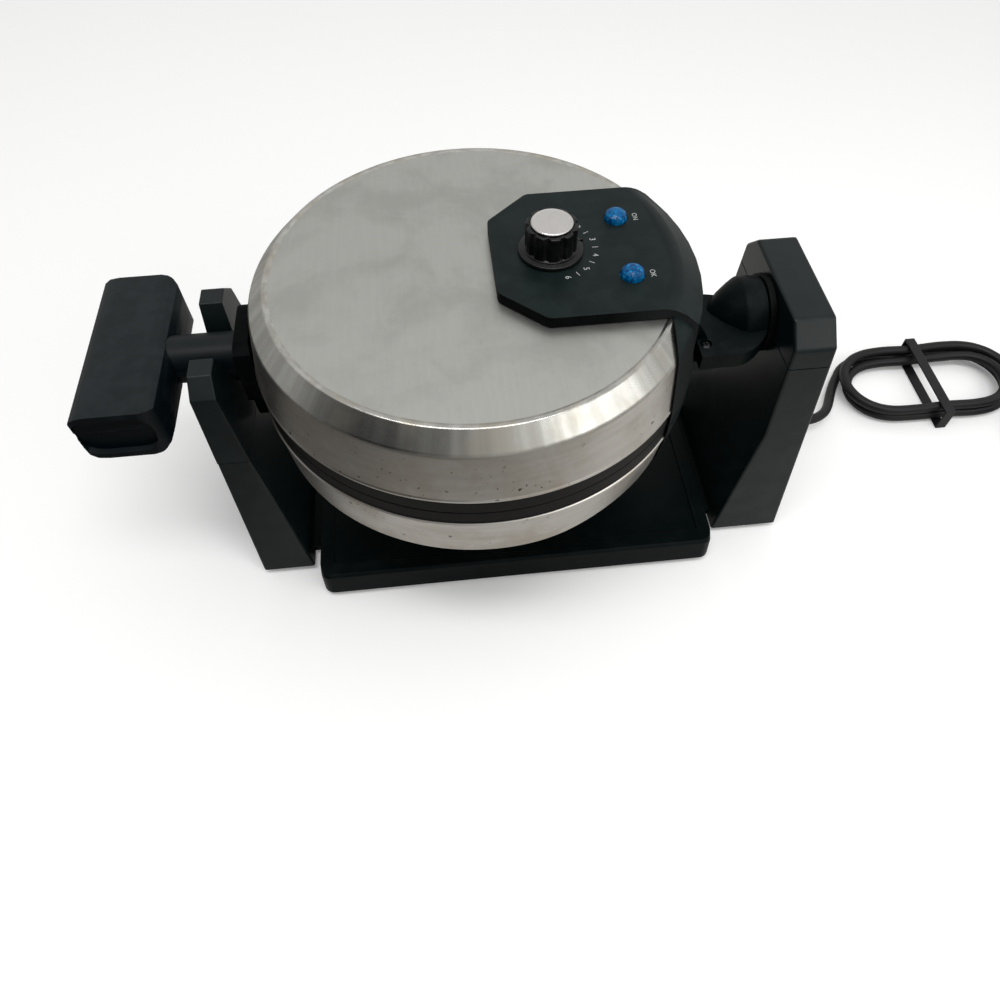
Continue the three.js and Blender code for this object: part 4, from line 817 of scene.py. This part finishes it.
brush_group = brushing("turned_brushing", round_run, 0.35, 30.0, 3.0, 0.6, (0.16, 0.7, 1.0))
straight_group = brushing("straight_brushing", straight_run, 0.5, 14.0, 4.0, 0.65, (0.3, 0.6, 1.0))
speck_group = specks_and_stains()


def steel(name, tone, roughness, group, line, length, depth, streak, specks, stain, blotch, soiled_by):
    """Stainless sheet; each zone of the cover has its own brushing, staining and specks."""
    material, tree, shader = blank_material(name, roughness, 1.0)
    brushed = use(tree, group, Line_Size=line, Length=length)
    marked = use(tree, speck_group, Amount=specks, Blotch=blotch)
    soiled = (*[a * b for a, b in zip(tone, soiled_by)], 1)
    look = mixed(times(brushed["Streak"], streak), (*tone, 1), shade_of(tone, 0.62))
    look = mixed(times(marked["Stain"], stain), look, soiled)
    look = mixed(times(marked["Speck"], 0.9), look, (0.05, 0.038, 0.028, 1))
    rough = plus(plus(roughness, times(marked["Stain"], 0.08)), times(marked["Speck"], 0.35))
    surfaced(shader, look, rough, plus(brushed["Height"], times(marked["Speck"], 0.8)), depth)
    return material


lid_satin = steel(
    "lid_satin_steel", (0.53, 0.535, 0.505), 0.4, straight_group, line=0.55, length=16.0, depth=0.006,
    streak=0.07, specks=0.14, stain=0.5, blotch=36.0, soiled_by=(0.7, 0.7, 0.69),
)
chamfer_brushed = steel(
    "chamfer_brushed_steel", (0.59, 0.585, 0.555), 0.27, brush_group, line=0.5, length=5.0, depth=0.022,
    streak=0.6, specks=0.2, stain=0.45, blotch=20.0, soiled_by=(0.7, 0.62, 0.5),
)
wall_wiped = steel(
    "wall_wiped_steel", (0.56, 0.54, 0.51), 0.33, brush_group, line=0.45, length=26.0, depth=0.008,
    streak=0.22, specks=0.5, stain=0.55, blotch=30.0, soiled_by=(0.7, 0.63, 0.54),
)

FLAT_EDGE, CHAMFER_EDGE = 99, 107.5
COVER_OUTSIDE = [
    (0, 43.8), (96.2, 43.8), (97.4, 44.2), (FLAT_EDGE, 44.2), (CHAMFER_EDGE, 35.7),
    (111.5, 10.6), (112.0, 9.9), (112.0, 8.9), (111.4, 8.45),
]
OUTSIDE_CORNERS = [0.6, 0.6, 1.6, 4.5, 0.3, 0.3, 0.3]
COVER_INSIDE = [(0, 43.2), (98.6, 43.2), (106.6, 35.3), (110.8, 8.6)]
COVER_CUT_X = 88.0
FLAT_REACH, WALL_RISE = 96, 35.4
LOWER_FULLER, FULLER_FADE = 1.9, (25.0, 72.0)
KNOB_X = 38.0
COVER_SIDES = 240
SPINDLE_HOLE, BOARD_SLOT, CUT_FROM, CUT_TO = 3.6, ((67, -4), (79, 4)), 40, 48


def keep_before(mesh, x):
    """Cuts a closed mesh at a plane, drops what lies beyond it and closes the cut."""
    with reshaped(mesh) as shape:
        whole = [*shape.verts, *shape.edges, *shape.faces]
        plane = dict(plane_co=at(x, 0, 0), plane_no=(1, 0, 0), clear_outer=True)
        cut = bmesh.ops.bisect_plane(shape, geom=whole, **plane)
        rims = [e for e in cut["geom_cut"] if isinstance(e, bmesh.types.BMEdge)]
        bmesh.ops.triangle_fill(shape, use_beauty=True, edges=rims)
        bmesh.ops.recalc_face_normals(shape, faces=shape.faces)
    return mesh


def cover_mesh(name, up, fuller=0.0):
    """A cover above or below the rims; a fuller wall fades to the plain one towards the housing."""
    forms = []
    inside = corner_arcs(COVER_INSIDE, 1.5, 4)
    for extra in (0.0, fuller):
        stretch = {FLAT_EDGE: extra * 0.7, CHAMFER_EDGE: extra}
        stretched = [(r + stretch.get(r, 0.0), h) for r, h in COVER_OUTSIDE]
        outside = corner_arcs(stretched, OUTSIDE_CORNERS, 6)
        profile = [(r, h * up) for r, h in [*outside, *reversed(inside)]]
        forms.append(turned_mesh(name, profile, ON_AXIS, "z", COVER_SIDES))
    mesh, full = forms
    for vertex, swollen in zip(mesh.vertices, full.vertices):
        vertex.co = vertex.co.lerp(swollen.co, 1 - eased(vertex.co.x / MM, *FULLER_FADE))
    mesh = keep_before(mesh, COVER_CUT_X)
    for face in mesh.polygons:
        reach = math.hypot(face.center.x - ORIGIN_X * MM, face.center.y) / MM
        rise = abs(face.center.z / MM - AXIS)
        face.material_index = 0 if reach < FLAT_REACH else 1 if rise > WALL_RISE else 2
    return mesh


spindle_rod = rod(SPINDLE_HOLE, CUT_FROM, CUT_TO)
spindle_cutter = turned_mesh("spindle_hole", spindle_rod, (KNOB_X, 0, AXIS), "z", 48)
slot_cutter = bar_mesh((*BOARD_SLOT[0], AXIS + CUT_FROM), (*BOARD_SLOT[1], AXIS + CUT_TO))
upper_form = carved(carved(cover_mesh("upper_steel_cover", 1), spindle_cutter), slot_cutter)
lower_form = cover_mesh("lower_steel_cover", -1, LOWER_FULLER)
zones = [lid_satin, chamfer_brushed, wall_wiped]
for half, form, body in (("upper", upper_form, "lid"), ("lower", lower_form, "cooker_base")):
    finished(f"{half}_steel_cover", form, zones, body, "steel_cover", f"{half}_cover")

# Rims: two dark heat-proof rings that meet at the middle. Each carries its cover and
# its plate, and is cut back where the side housing wraps round it.
rim_dark = moulding(
    "rim_brown_black", (0.0026, 0.0021, 0.002), 0.5, grain=0.5, grain_depth=0.012, wear=0.25, dust=0.04,
    shine=0.12,
)
HALVES = (("upper", 1, "lid"), ("lower", -1, "cooker_base"))
RIM = [(100.3, 4), (100.3, 0.15), (111.3, 0.15), (111.3, 8.3), (110.2, 8.3), (109.9, 11.3), (100.3, 11.3)]
RIM_TRIM_X, RIM_TRIM_RADIUS, RIM_RELIEF_X, RIM_RELIEF = 86.7, 108.6, 104.55, 0.8


def rim_mesh(name, up):
    profile = [(r, h * up) for r, h in corner_arcs([*RIM, RIM[0]], 0.45, 4)[:-1]]
    mesh = turned_mesh(name, profile, ON_AXIS, "z", COVER_SIDES)
    for vertex in mesh.vertices:
        x, y = vertex.co.x - ORIGIN_X * MM, vertex.co.y
        reach = math.hypot(x, y)
        if x > RIM_TRIM_X * MM and reach > RIM_TRIM_RADIUS * MM:
            pull = RIM_TRIM_RADIUS * MM / reach
            vertex.co.x, vertex.co.y = x * pull + ORIGIN_X * MM, y * pull
        if up > 0 and x > RIM_RELIEF_X * MM:
            vertex.co.z = max(vertex.co.z, (AXIS + RIM_RELIEF) * MM)
    return mesh


for half, up, body in HALVES:
    name = f"{half}_rim_ring"
    finished(name, rim_mesh(name, up), [rim_dark], body, "rim_plastic", f"{half}_rim")

# Grid plates: cast aluminium dishes with a dark non-stick coat. Tapered studs press
# the pockets, and two ridges part the waffle into quarters.
DISH_FLOOR = 93.7
DISH = [(0, 15.6), (99.7, 15.6), (99.7, 0.5), (95.2, 0.5), (DISH_FLOOR, 12.6), (0, 12.6)]
STUD_PITCH, STUD_FOOT, STUD_TOP, STUD_TIP, STUD_ROOT, STUD_ROWS = 21.0, 12.0, 9.0, 2.6, 14.1, 8
RIDGE_HALF, RIDGE_REACH = 1.4, 94.3


def non_stick_coat():
    material, tree, shader = blank_material("non_stick_coat", 0.42, 0.25)
    surface = use(tree, grain_group, Grain_Size=0.35, Patch_Size=25.0)
    worn = times(use(tree, wear_group, Spread=0.1)["Wear"], 0.5)
    tone = mixed(surface["Patch"], (0.028, 0.026, 0.023, 1), (0.045, 0.041, 0.035, 1))
    tone = mixed(worn, tone, (0.16, 0.15, 0.13, 1))
    surfaced(shader, tone, ramp(surface["Patch"], 0.0, 1.0, 0.36, 0.5), surface["Height"], 0.03)
    return material


def joined_meshes(name, meshes):
    whole = bpy.data.meshes.new(name)
    with reshaped(whole) as shape:
        for mesh in meshes:
            shape.from_mesh(mesh)
    return whole


def plate_mesh(name, up):
    """The dish with its studs and ridges; the lower plate is the upper one turned over."""
    parts = [turned_mesh(name, corner_arcs(DISH, 0.9, 4), ON_AXIS, "z", 192)]
    low, high = AXIS + STUD_TIP, AXIS + STUD_ROOT
    places = [(i - (STUD_ROWS - 1) / 2) * STUD_PITCH for i in range(STUD_ROWS)]
    half, share = STUD_FOOT / 2, STUD_TOP / STUD_FOOT
    for x, y in ((x, y) for x in places for y in places):
        if math.hypot(x, y) + STUD_FOOT * 0.8 < DISH_FLOOR:
            parts.append(bar_mesh((x - half, y - half, low), (x + half, y + half, high), 0.9, 3, share))
    for x, y in ((RIDGE_REACH, RIDGE_HALF), (RIDGE_HALF, RIDGE_REACH)):
        parts.append(bar_mesh((-x, -y, low), (x, y, high), 0.6, 2))
    mesh = joined_meshes(name, parts)
    if up < 0:
        middle = Matrix.Translation(at(*ON_AXIS))
        mesh.transform(middle @ Matrix.Rotation(math.pi, 4, "X") @ middle.inverted())
    return mesh


coating = [non_stick_coat()]
for half, up, body in HALVES:
    name = f"{half}_waffle_grid"
    finished(name, plate_mesh(name, up), coating, body, "non_stick", f"{half}_grid_plate")

# Heaters: sheathed tubes bent round and clipped to the backs of the plates, with a
# ceramic bead and a pin at each end.
sheath = plated("heater_sheath", (0.36, 0.35, 0.33), 0.42, 4.0)
HEATER = dict(radius=72, height=19.9, tube=3.85, gap=25, points=97)
END_SIZES = (0.42, 0.42, 0.85, 1.0)
for half, up, body in HALVES:
    name = f"{half}_heater_tube"
    tube_piece, points = round_curve(name, HEATER["tube"], "POLY", HEATER["points"], 5)
    last = HEATER["points"] - 1
    for i, point in enumerate(points):
        angle = math.radians(HEATER["gap"] + (360 - 2 * HEATER["gap"]) * i / last)
        radius = HEATER["radius"]
        place = at(radius * math.cos(angle), radius * math.sin(angle) * up, AXIS + HEATER["height"] * up)
        point.co = (*place, 1)
        point.radius = END_SIZES[min(i, last - i, 3)]
    tube_piece.data.materials.append(sheath)
    settle(tube_piece, body, "heater_steel", f"{half}_heating_element")

# Control panel and side housings: charcoal mouldings. The panel is one with the upper
# side housing, whose wings wrap over the steel; the lower housing has a short lip.
# Painted top light: a little of the pale tone on the panel's faces that look up.
panel_black = moulding(
    "panel_charcoal", (0.002, 0.0062, 0.0064), 0.42, grain=0.4, grain_depth=0.007, dust=0.01, painted_top_light=0.005
)
# Painted shade: the panel's side walls are the same moulding as its top, here given a darker black for the
# shade they stand in.
side_painted_shade = moulding(
    "panel_side_painted_shade", (0.0005, 0.001, 0.0011), 0.5, grain=0.4, wear=0.15, dust=0.006, shine=0.03
)
PANEL_FACE, PANEL_DROP, PANEL_SWEEP, FACE_ARC = 49.9, 1.8, 4.2, 94.0
# Where the painted shade on the panel's side wall fades out towards the wing.
SHADE_FADES_BETWEEN = 62.0, 94.0  # the side wall turns from black to charcoal between these, in the scene's X


def fade_painted_shade_to_wing(material):
    """Fades the painted shade on the panel's side wall from black to charcoal towards the wing."""
    tree = material.node_tree
    shader = tree.nodes["Principled BSDF"].inputs
    plain = shader["Base Color"].links[0].from_socket
    along = add(tree, "SeparateXYZ", {0: here(tree)}).outputs[0]
    share = ramp(along, SHADE_FADES_BETWEEN[0] * MM, SHADE_FADES_BETWEEN[1] * MM)
    link(mixed(share, plain, (0.016, 0.0175, 0.018, 1)), shader["Base Color"])


def lower_face(shape):
    """Sets the flat face of the panel down on its own wall and rounds its outer arc into the slope."""
    for vertex in shape.verts:
        if vertex.co.z / MM > AXIS + PANEL_FACE:
            vertex.co.z -= PANEL_DROP * MM
    on_face = [v for v in shape.verts if abs(v.co.z / MM - AXIS - PANEL_FACE) < 0.05]
    face_arc = {v for v in on_face if math.hypot(v.co.x - ORIGIN_X * MM, v.co.y) / MM > FACE_ARC}
    hard = [e for e in shape.edges if set(e.verts) <= face_arc and e.calc_face_angle(0.0) > math.radians(12)]
    round_off(shape, hard, PANEL_SWEEP, 8)


fade_painted_shade_to_wing(side_painted_shade)
panel = moulded_piece(
    "control_panel_moulding", "control_panel", panel_black, 0.6, "lid", "black_plastic",
    broad=2.0, broad_angle=50.0, reshape=lower_face,
)
# Painted shade: faces of the panel that don't look up get the darker side material.
second_material(panel, side_painted_shade, lambda face: face.normal.z < 0.35)
moulded_piece(
    "lower_housing_moulding", "lower_side_housing", panel_black, 0.7, "cooker_base", "black_plastic"
)

# Hinge: a plated steel pin held in the hub's two lugs, and a plated strip that is fixed
# to the lid's rim and bent up into two eyes round the pin.
PIN_PLACE = (105, 0, AXIS + 20)
pin = rod(radius=1.8, start=-21.5, end=21.5)
turned_piece(
    "hinge_pin_rod", "hinge_pin", pin, PIN_PLACE, "y", nickel, "cooker_base", "plated_steel", 32
)
moulded_piece("hinge_bracket_strip", "lid_hinge_bracket", nickel, 0.3, "lid", "plated_steel")

# Handle: half-round arms with a shield at the cooker, and two grip shells that close
# to one crossbar. Moulded in the same charcoal as the posts; here the handle is given a
# darker charcoal as painted shade, with painted top light on faces that look up, and
# the shield is darker still as painted shade.
# Painted shade: a darker charcoal than the posts for the shade on this side of the cooker, and a strong
# painted top light on faces that look up.
handle_painted_shade = moulding(
    "handle_charcoal_painted_shade", (0.001, 0.0032, 0.0046), 0.4, grain=0.5, wear=0.3, dust=0.008, shine=0.13, painted_top_light=0.036
)
# Painted shade: the shield end of each arm is the same moulding, given a darker, duller black for the shade
# it sits in by the cooker.
shield_painted_shade = moulding(
    "shield_painted_shade", (0.0005, 0.0012, 0.0014), 0.52, grain=0.5, wear=0.12, dust=0.006, shine=0.035
)
SHIELD_FROM = -119.6
for half, _, body in HALVES:
    arm = moulded_piece(
        f"{half}_arm_moulding", f"{half}_handle_arm", handle_painted_shade, 0.6, body, "black_plastic",
        broad=1.4, seams=(AXIS,),
    )
    # Painted shade on the arm's faces from the shield on.
    second_material(arm, shield_painted_shade, lambda face: face.center.x / MM - ORIGIN_X > SHIELD_FROM)
    moulded_piece(f"{half}_grip_shell", f"{half}_grip", handle_painted_shade, 0.9, body, "black_plastic")

# Browning knob: glossy black with finger flutes, a skirt with a pointer and a satin
# metal cap pressed in on top. It turns a plated spindle.
KNOB = dict(base=50.1, skirt=15.5, skirt_height=2.4, body=12.2, height=12.5, flutes=10, flute=1.5, sides=240)
SHOULDER = KNOB["base"] + KNOB["skirt_height"]
KNOB_TOP = SHOULDER + KNOB["height"]
POINTER_ANGLE = math.radians(13.4)
CAP = [(0, 65.3), (9.8, 65.3), (9.8, 65.9), (9.3, 66.3), (8.7, 66.1), (0, 66.2)]


def knob_gloss():
    material, tree, shader = blank_material("knob_gloss", 0.28, Specular_IOR_Level=0.32)
    surface = use(tree, grain_group, Grain_Size=1.5, Patch_Size=6.0)
    tone = mixed(surface["Patch"], (0.0022, 0.0024, 0.0026, 1), (0.0045, 0.0048, 0.005, 1))
    surfaced(shader, tone, ramp(surface["Patch"], 0.0, 1.0, 0.24, 0.34), surface["Height"], 0.004)
    return material


def cap_satin():
    material, tree, shader = blank_material("cap_satin", 0.34, 0.85)
    scuff = noise(tree, 700.0, 5.0, roughness=0.7)
    tone = mixed(scuff, (0.56, 0.54, 0.53, 1), (0.72, 0.7, 0.69, 1))
    surfaced(shader, tone, ramp(scuff, 0.3, 0.7, 0.28, 0.42), scuff, 0.012)
    return material


def turned_by(angle, x=0.0, y=0.0):
    """A turn about the part's own zero, followed by a move."""
    zero = at(0, 0, 0)
    move = Matrix.Translation(zero + Vector((x, y, 0)) * MM)
    return move @ Matrix.Rotation(angle, 4, "Z") @ Matrix.Translation(-zero)


def knob_mesh():
    base, skirt, body = KNOB["base"], KNOB["skirt"], KNOB["body"]
    run = [
        (0, base), (skirt, base), (skirt, SHOULDER - 0.5), (skirt - 2.2, SHOULDER + 0.2),
        (body, SHOULDER + 0.2), (body, KNOB_TOP), (body - 1.9, KNOB_TOP),
    ]
    seat = [Vector((body - 2.1, KNOB_TOP - 0.5)), Vector((0, KNOB_TOP - 0.5))]
    mesh = turned_mesh("knob", corner_arcs(run, 0.7, 4) + seat, (0, 0, 0), "z", KNOB["sides"])
    for vertex in mesh.vertices:
        x, y, z = vertex.co.x - ORIGIN_X * MM, vertex.co.y, vertex.co.z / MM
        reach = math.hypot(x, y)
        if z > SHOULDER + 0.15 and reach > 1e-4:
            dip = max(0.0, math.cos(math.atan2(y, x) * KNOB["flutes"])) ** 1.6
            fade = eased(z, SHOULDER + 0.2, SHOULDER + 1.4) * eased(reach / MM, body - 2.6, body - 1.7)
            pull = 1 - KNOB["flute"] * MM * dip * fade / reach
            vertex.co.x, vertex.co.y = x * pull + ORIGIN_X * MM, y * pull
    pointer = bar_mesh((skirt - 3.4, -0.45, SHOULDER - 1.4), (skirt + 0.9, 0.45, SHOULDER + 0.15), 0.2)
    pointer.transform(turned_by(POINTER_ANGLE))
    whole = joined_meshes("fluted_knob", [mesh, pointer])
    whole.transform(Matrix.Translation(Vector((KNOB_X, 0, AXIS)) * MM))
    return whole


KNOB_PLACE = (KNOB_X, 0, AXIS)
spindle = rod(radius=3.0, start=36.9, end=60.0)
finished(
    "fluted_knob", knob_mesh(), [knob_gloss()], "browning_control", "knob_plastic", "control_knob"
)
turned_piece(
    "knob_cap_disc", "knob_cap", CAP, KNOB_PLACE, "z", cap_satin(), "browning_control", "bright_trim", 96, 0.2
)
turned_piece(
    "knob_spindle", "thermostat_spindle", spindle, KNOB_PLACE, "z", nickel,
    "browning_control", "plated_steel", 40, 0.4,
)

# Dial print: white numbers 1 to 6 with ticks between them, read from the knob, and a
# plain word beside each lamp. Printed on the panel.
PRINT_HEIGHT = AXIS + PANEL_FACE + 0.03
NUMBER_RADIUS, DIAL_MIDDLE_Y = 21.5, 1.3
NUMBER_SIZE, WORD_SIZE, WORD_X, LAMP_Y = 4.1, 3.5, 82.5, 21
TICK_IN, TICK_OUT, TICK_HALF, INK = 1.5, 1.3, 0.18, 0.02
DIAL = {"1": 75.5, "2": 44.5, "3": 13.3, "4": -17.9, "5": -47.0, "6": -75.5}
print_white, tree, shader = blank_material("print_white", 0.55)
ink = ramp(noise(tree, 2200.0, 3.0), 0.3, 0.55)
link(mixed(ink, (0.25, 0.26, 0.26, 1), (0.48, 0.49, 0.49, 1)), shader["Base Color"])


def printed(name, words, size, x, y):
    """Words as thin raised ink, read from the knob."""
    curve = bpy.data.curves.new(name, "FONT")
    curve.body = words
    curve.size = size * MM
    curve.extrude = INK * MM
    curve.align_x, curve.align_y = "CENTER", "CENTER"
    curve.resolution_u = 4
    text = placed(name, curve)
    mesh = bpy.data.meshes.new_from_object(text.evaluated_get(bpy.context.evaluated_depsgraph_get()))
    bpy.data.objects.remove(text)
    mesh.transform(Matrix.Translation(at(x, y, PRINT_HEIGHT)) @ Matrix.Rotation(math.radians(-90), 4, "Z"))
    mesh.materials.clear()
    finished(name, mesh, [print_white], "lid", "bright_trim")


for number, degrees in DIAL.items():
    angle = math.radians(degrees)
    x, y = KNOB_X + NUMBER_RADIUS * math.cos(angle), DIAL_MIDDLE_Y + NUMBER_RADIUS * math.sin(angle)
    printed(f"dial_number_{number}", number, NUMBER_SIZE, x, y)
ticks, stops = [], list(DIAL.values())
for above, below in zip(stops, stops[1:]):
    tick_start = (NUMBER_RADIUS - TICK_IN, -TICK_HALF, PRINT_HEIGHT - INK)
    tick = bar_mesh(tick_start, (NUMBER_RADIUS + TICK_OUT, TICK_HALF, PRINT_HEIGHT + INK))
    tick.transform(turned_by(math.radians((above + below) / 2), KNOB_X, DIAL_MIDDLE_Y))
    ticks.append(tick)
finished("dial_ticks", joined_meshes("dial_ticks", ticks), [print_white], "lid", "bright_trim")
printed("lamp_word_on", "ON", WORD_SIZE, WORD_X, LAMP_Y)
printed("lamp_word_ok", "OK", WORD_SIZE, WORD_X, -LAMP_Y)

# Indicator lamps: faceted clear blue jewels held under the panel, each over a small
# lamp on a board that lies on the cover.
JEWEL_X, JEWEL_SIDES, JEWEL_STRAIGHT_RINGS = 73.0, 12, 4
JEWEL_RINGS = [(6.2, 48.3), (6.2, 49.0), (5.6, 49.0), (5.6, 51.0), (5.0, 52.6), (3.4, 53.8), (1.5, 54.3)]
LAMP = [(0, 46.25), (1.8, 46.25), (1.8, 47.3), (0.9, 47.95), (0, 47.95)]


def jewel_blue():
    sockets = dict(Specular_IOR_Level=0.22, Coat_Weight=0.04, Coat_Roughness=0.15, IOR=1.45)
    material, tree, shader = blank_material("jewel_blue", 0.2, **sockets)
    facets = add(tree, "TexVoronoi", {"Vector": here(tree), "Scale": 780.0}).outputs
    shade = add(tree, "SeparateColor", {0: facets["Color"]}).outputs[0]
    deep = mixed(shade, (0.0, 0.04, 0.14, 1), (0.0, 0.14, 0.36, 1))
    tone = mixed(ramp(shade, 0.86, 0.98), deep, (0.004, 0.2, 0.46, 1))
    surfaced(shader, tone, ramp(shade, 0.0, 1.0, 0.12, 0.24), facets["Distance"], 0.06, 0.4)
    return material


def jewel_mesh(name, x, y):
    """The upper rings are turned half a step each, so that every facet is a flat triangle."""
    vertices, faces = [at(x, y, AXIS + JEWEL_RINGS[0][1])], []
    count = JEWEL_SIDES
    for ring, (radius, height) in enumerate(JEWEL_RINGS):
        twist = 0.5 * max(0, ring + 1 - JEWEL_STRAIGHT_RINGS)
        for i in range(count):
            angle = 2 * math.pi * (i + twist) / count
            vertices.append(at(x + radius * math.cos(angle), y + radius * math.sin(angle), AXIS + height))
    vertices.append(at(x, y, AXIS + JEWEL_RINGS[-1][1]))
    tip = len(vertices) - 1
    for i in range(count):
        j = (i + 1) % count
        faces += [(0, 1 + j, 1 + i), (tip, tip - count + i, tip - count + j)]
        for first in range(1, 1 + (len(JEWEL_RINGS) - 1) * count, count):
            a, b, c, d = first + i, first + j, first + count + i, first + count + j
            faces += [(a, b, c), (b, d, c)]
    return closed_mesh(name, vertices, faces)


blue_glass = jewel_blue()
lamp_glass = plated("lamp_silver", (0.7, 0.7, 0.72), 0.25)
for word, y in (("power", LAMP_Y), ("ready", -LAMP_Y)):
    name = f"{word}_jewel"
    form = jewel_mesh(name, JEWEL_X, y)
    finished(name, form, [blue_glass], "lid", "blue_lens", f"{word}_light", crease=8.0)
    lamp = (f"{word}_lamp_bulb", f"{word}_lamp")
    turned_piece(*lamp, LAMP, (JEWEL_X, y, AXIS), "z", lamp_glass, "lid", "bright_trim", 32, 0.4)
board_green = moulding("board_green", (0.02, 0.09, 0.035), 0.4, grain=1.2, wear=0.1, dust=0.05, shine=0.5)
moulded_piece("lamp_board", "indicator_board", board_green, 0.15, "lid", "board", 2)

# Thermostat: a brown phenolic block fixed under the cover, with a plated contact strip
# that is a leaf spring.
phenolic = moulding(
    "phenolic_brown", (0.05, 0.03, 0.018), 0.55, grain=0.8, grain_depth=0.02, dust=0.1, shine=0.5
)
moulded_piece("thermostat_block", "thermostat", phenolic, 0.5, "lid", "phenolic")
moulded_piece("contact_leaf", "thermostat_contact", nickel, 0.12, "contact_strip", "plated_steel", 2)
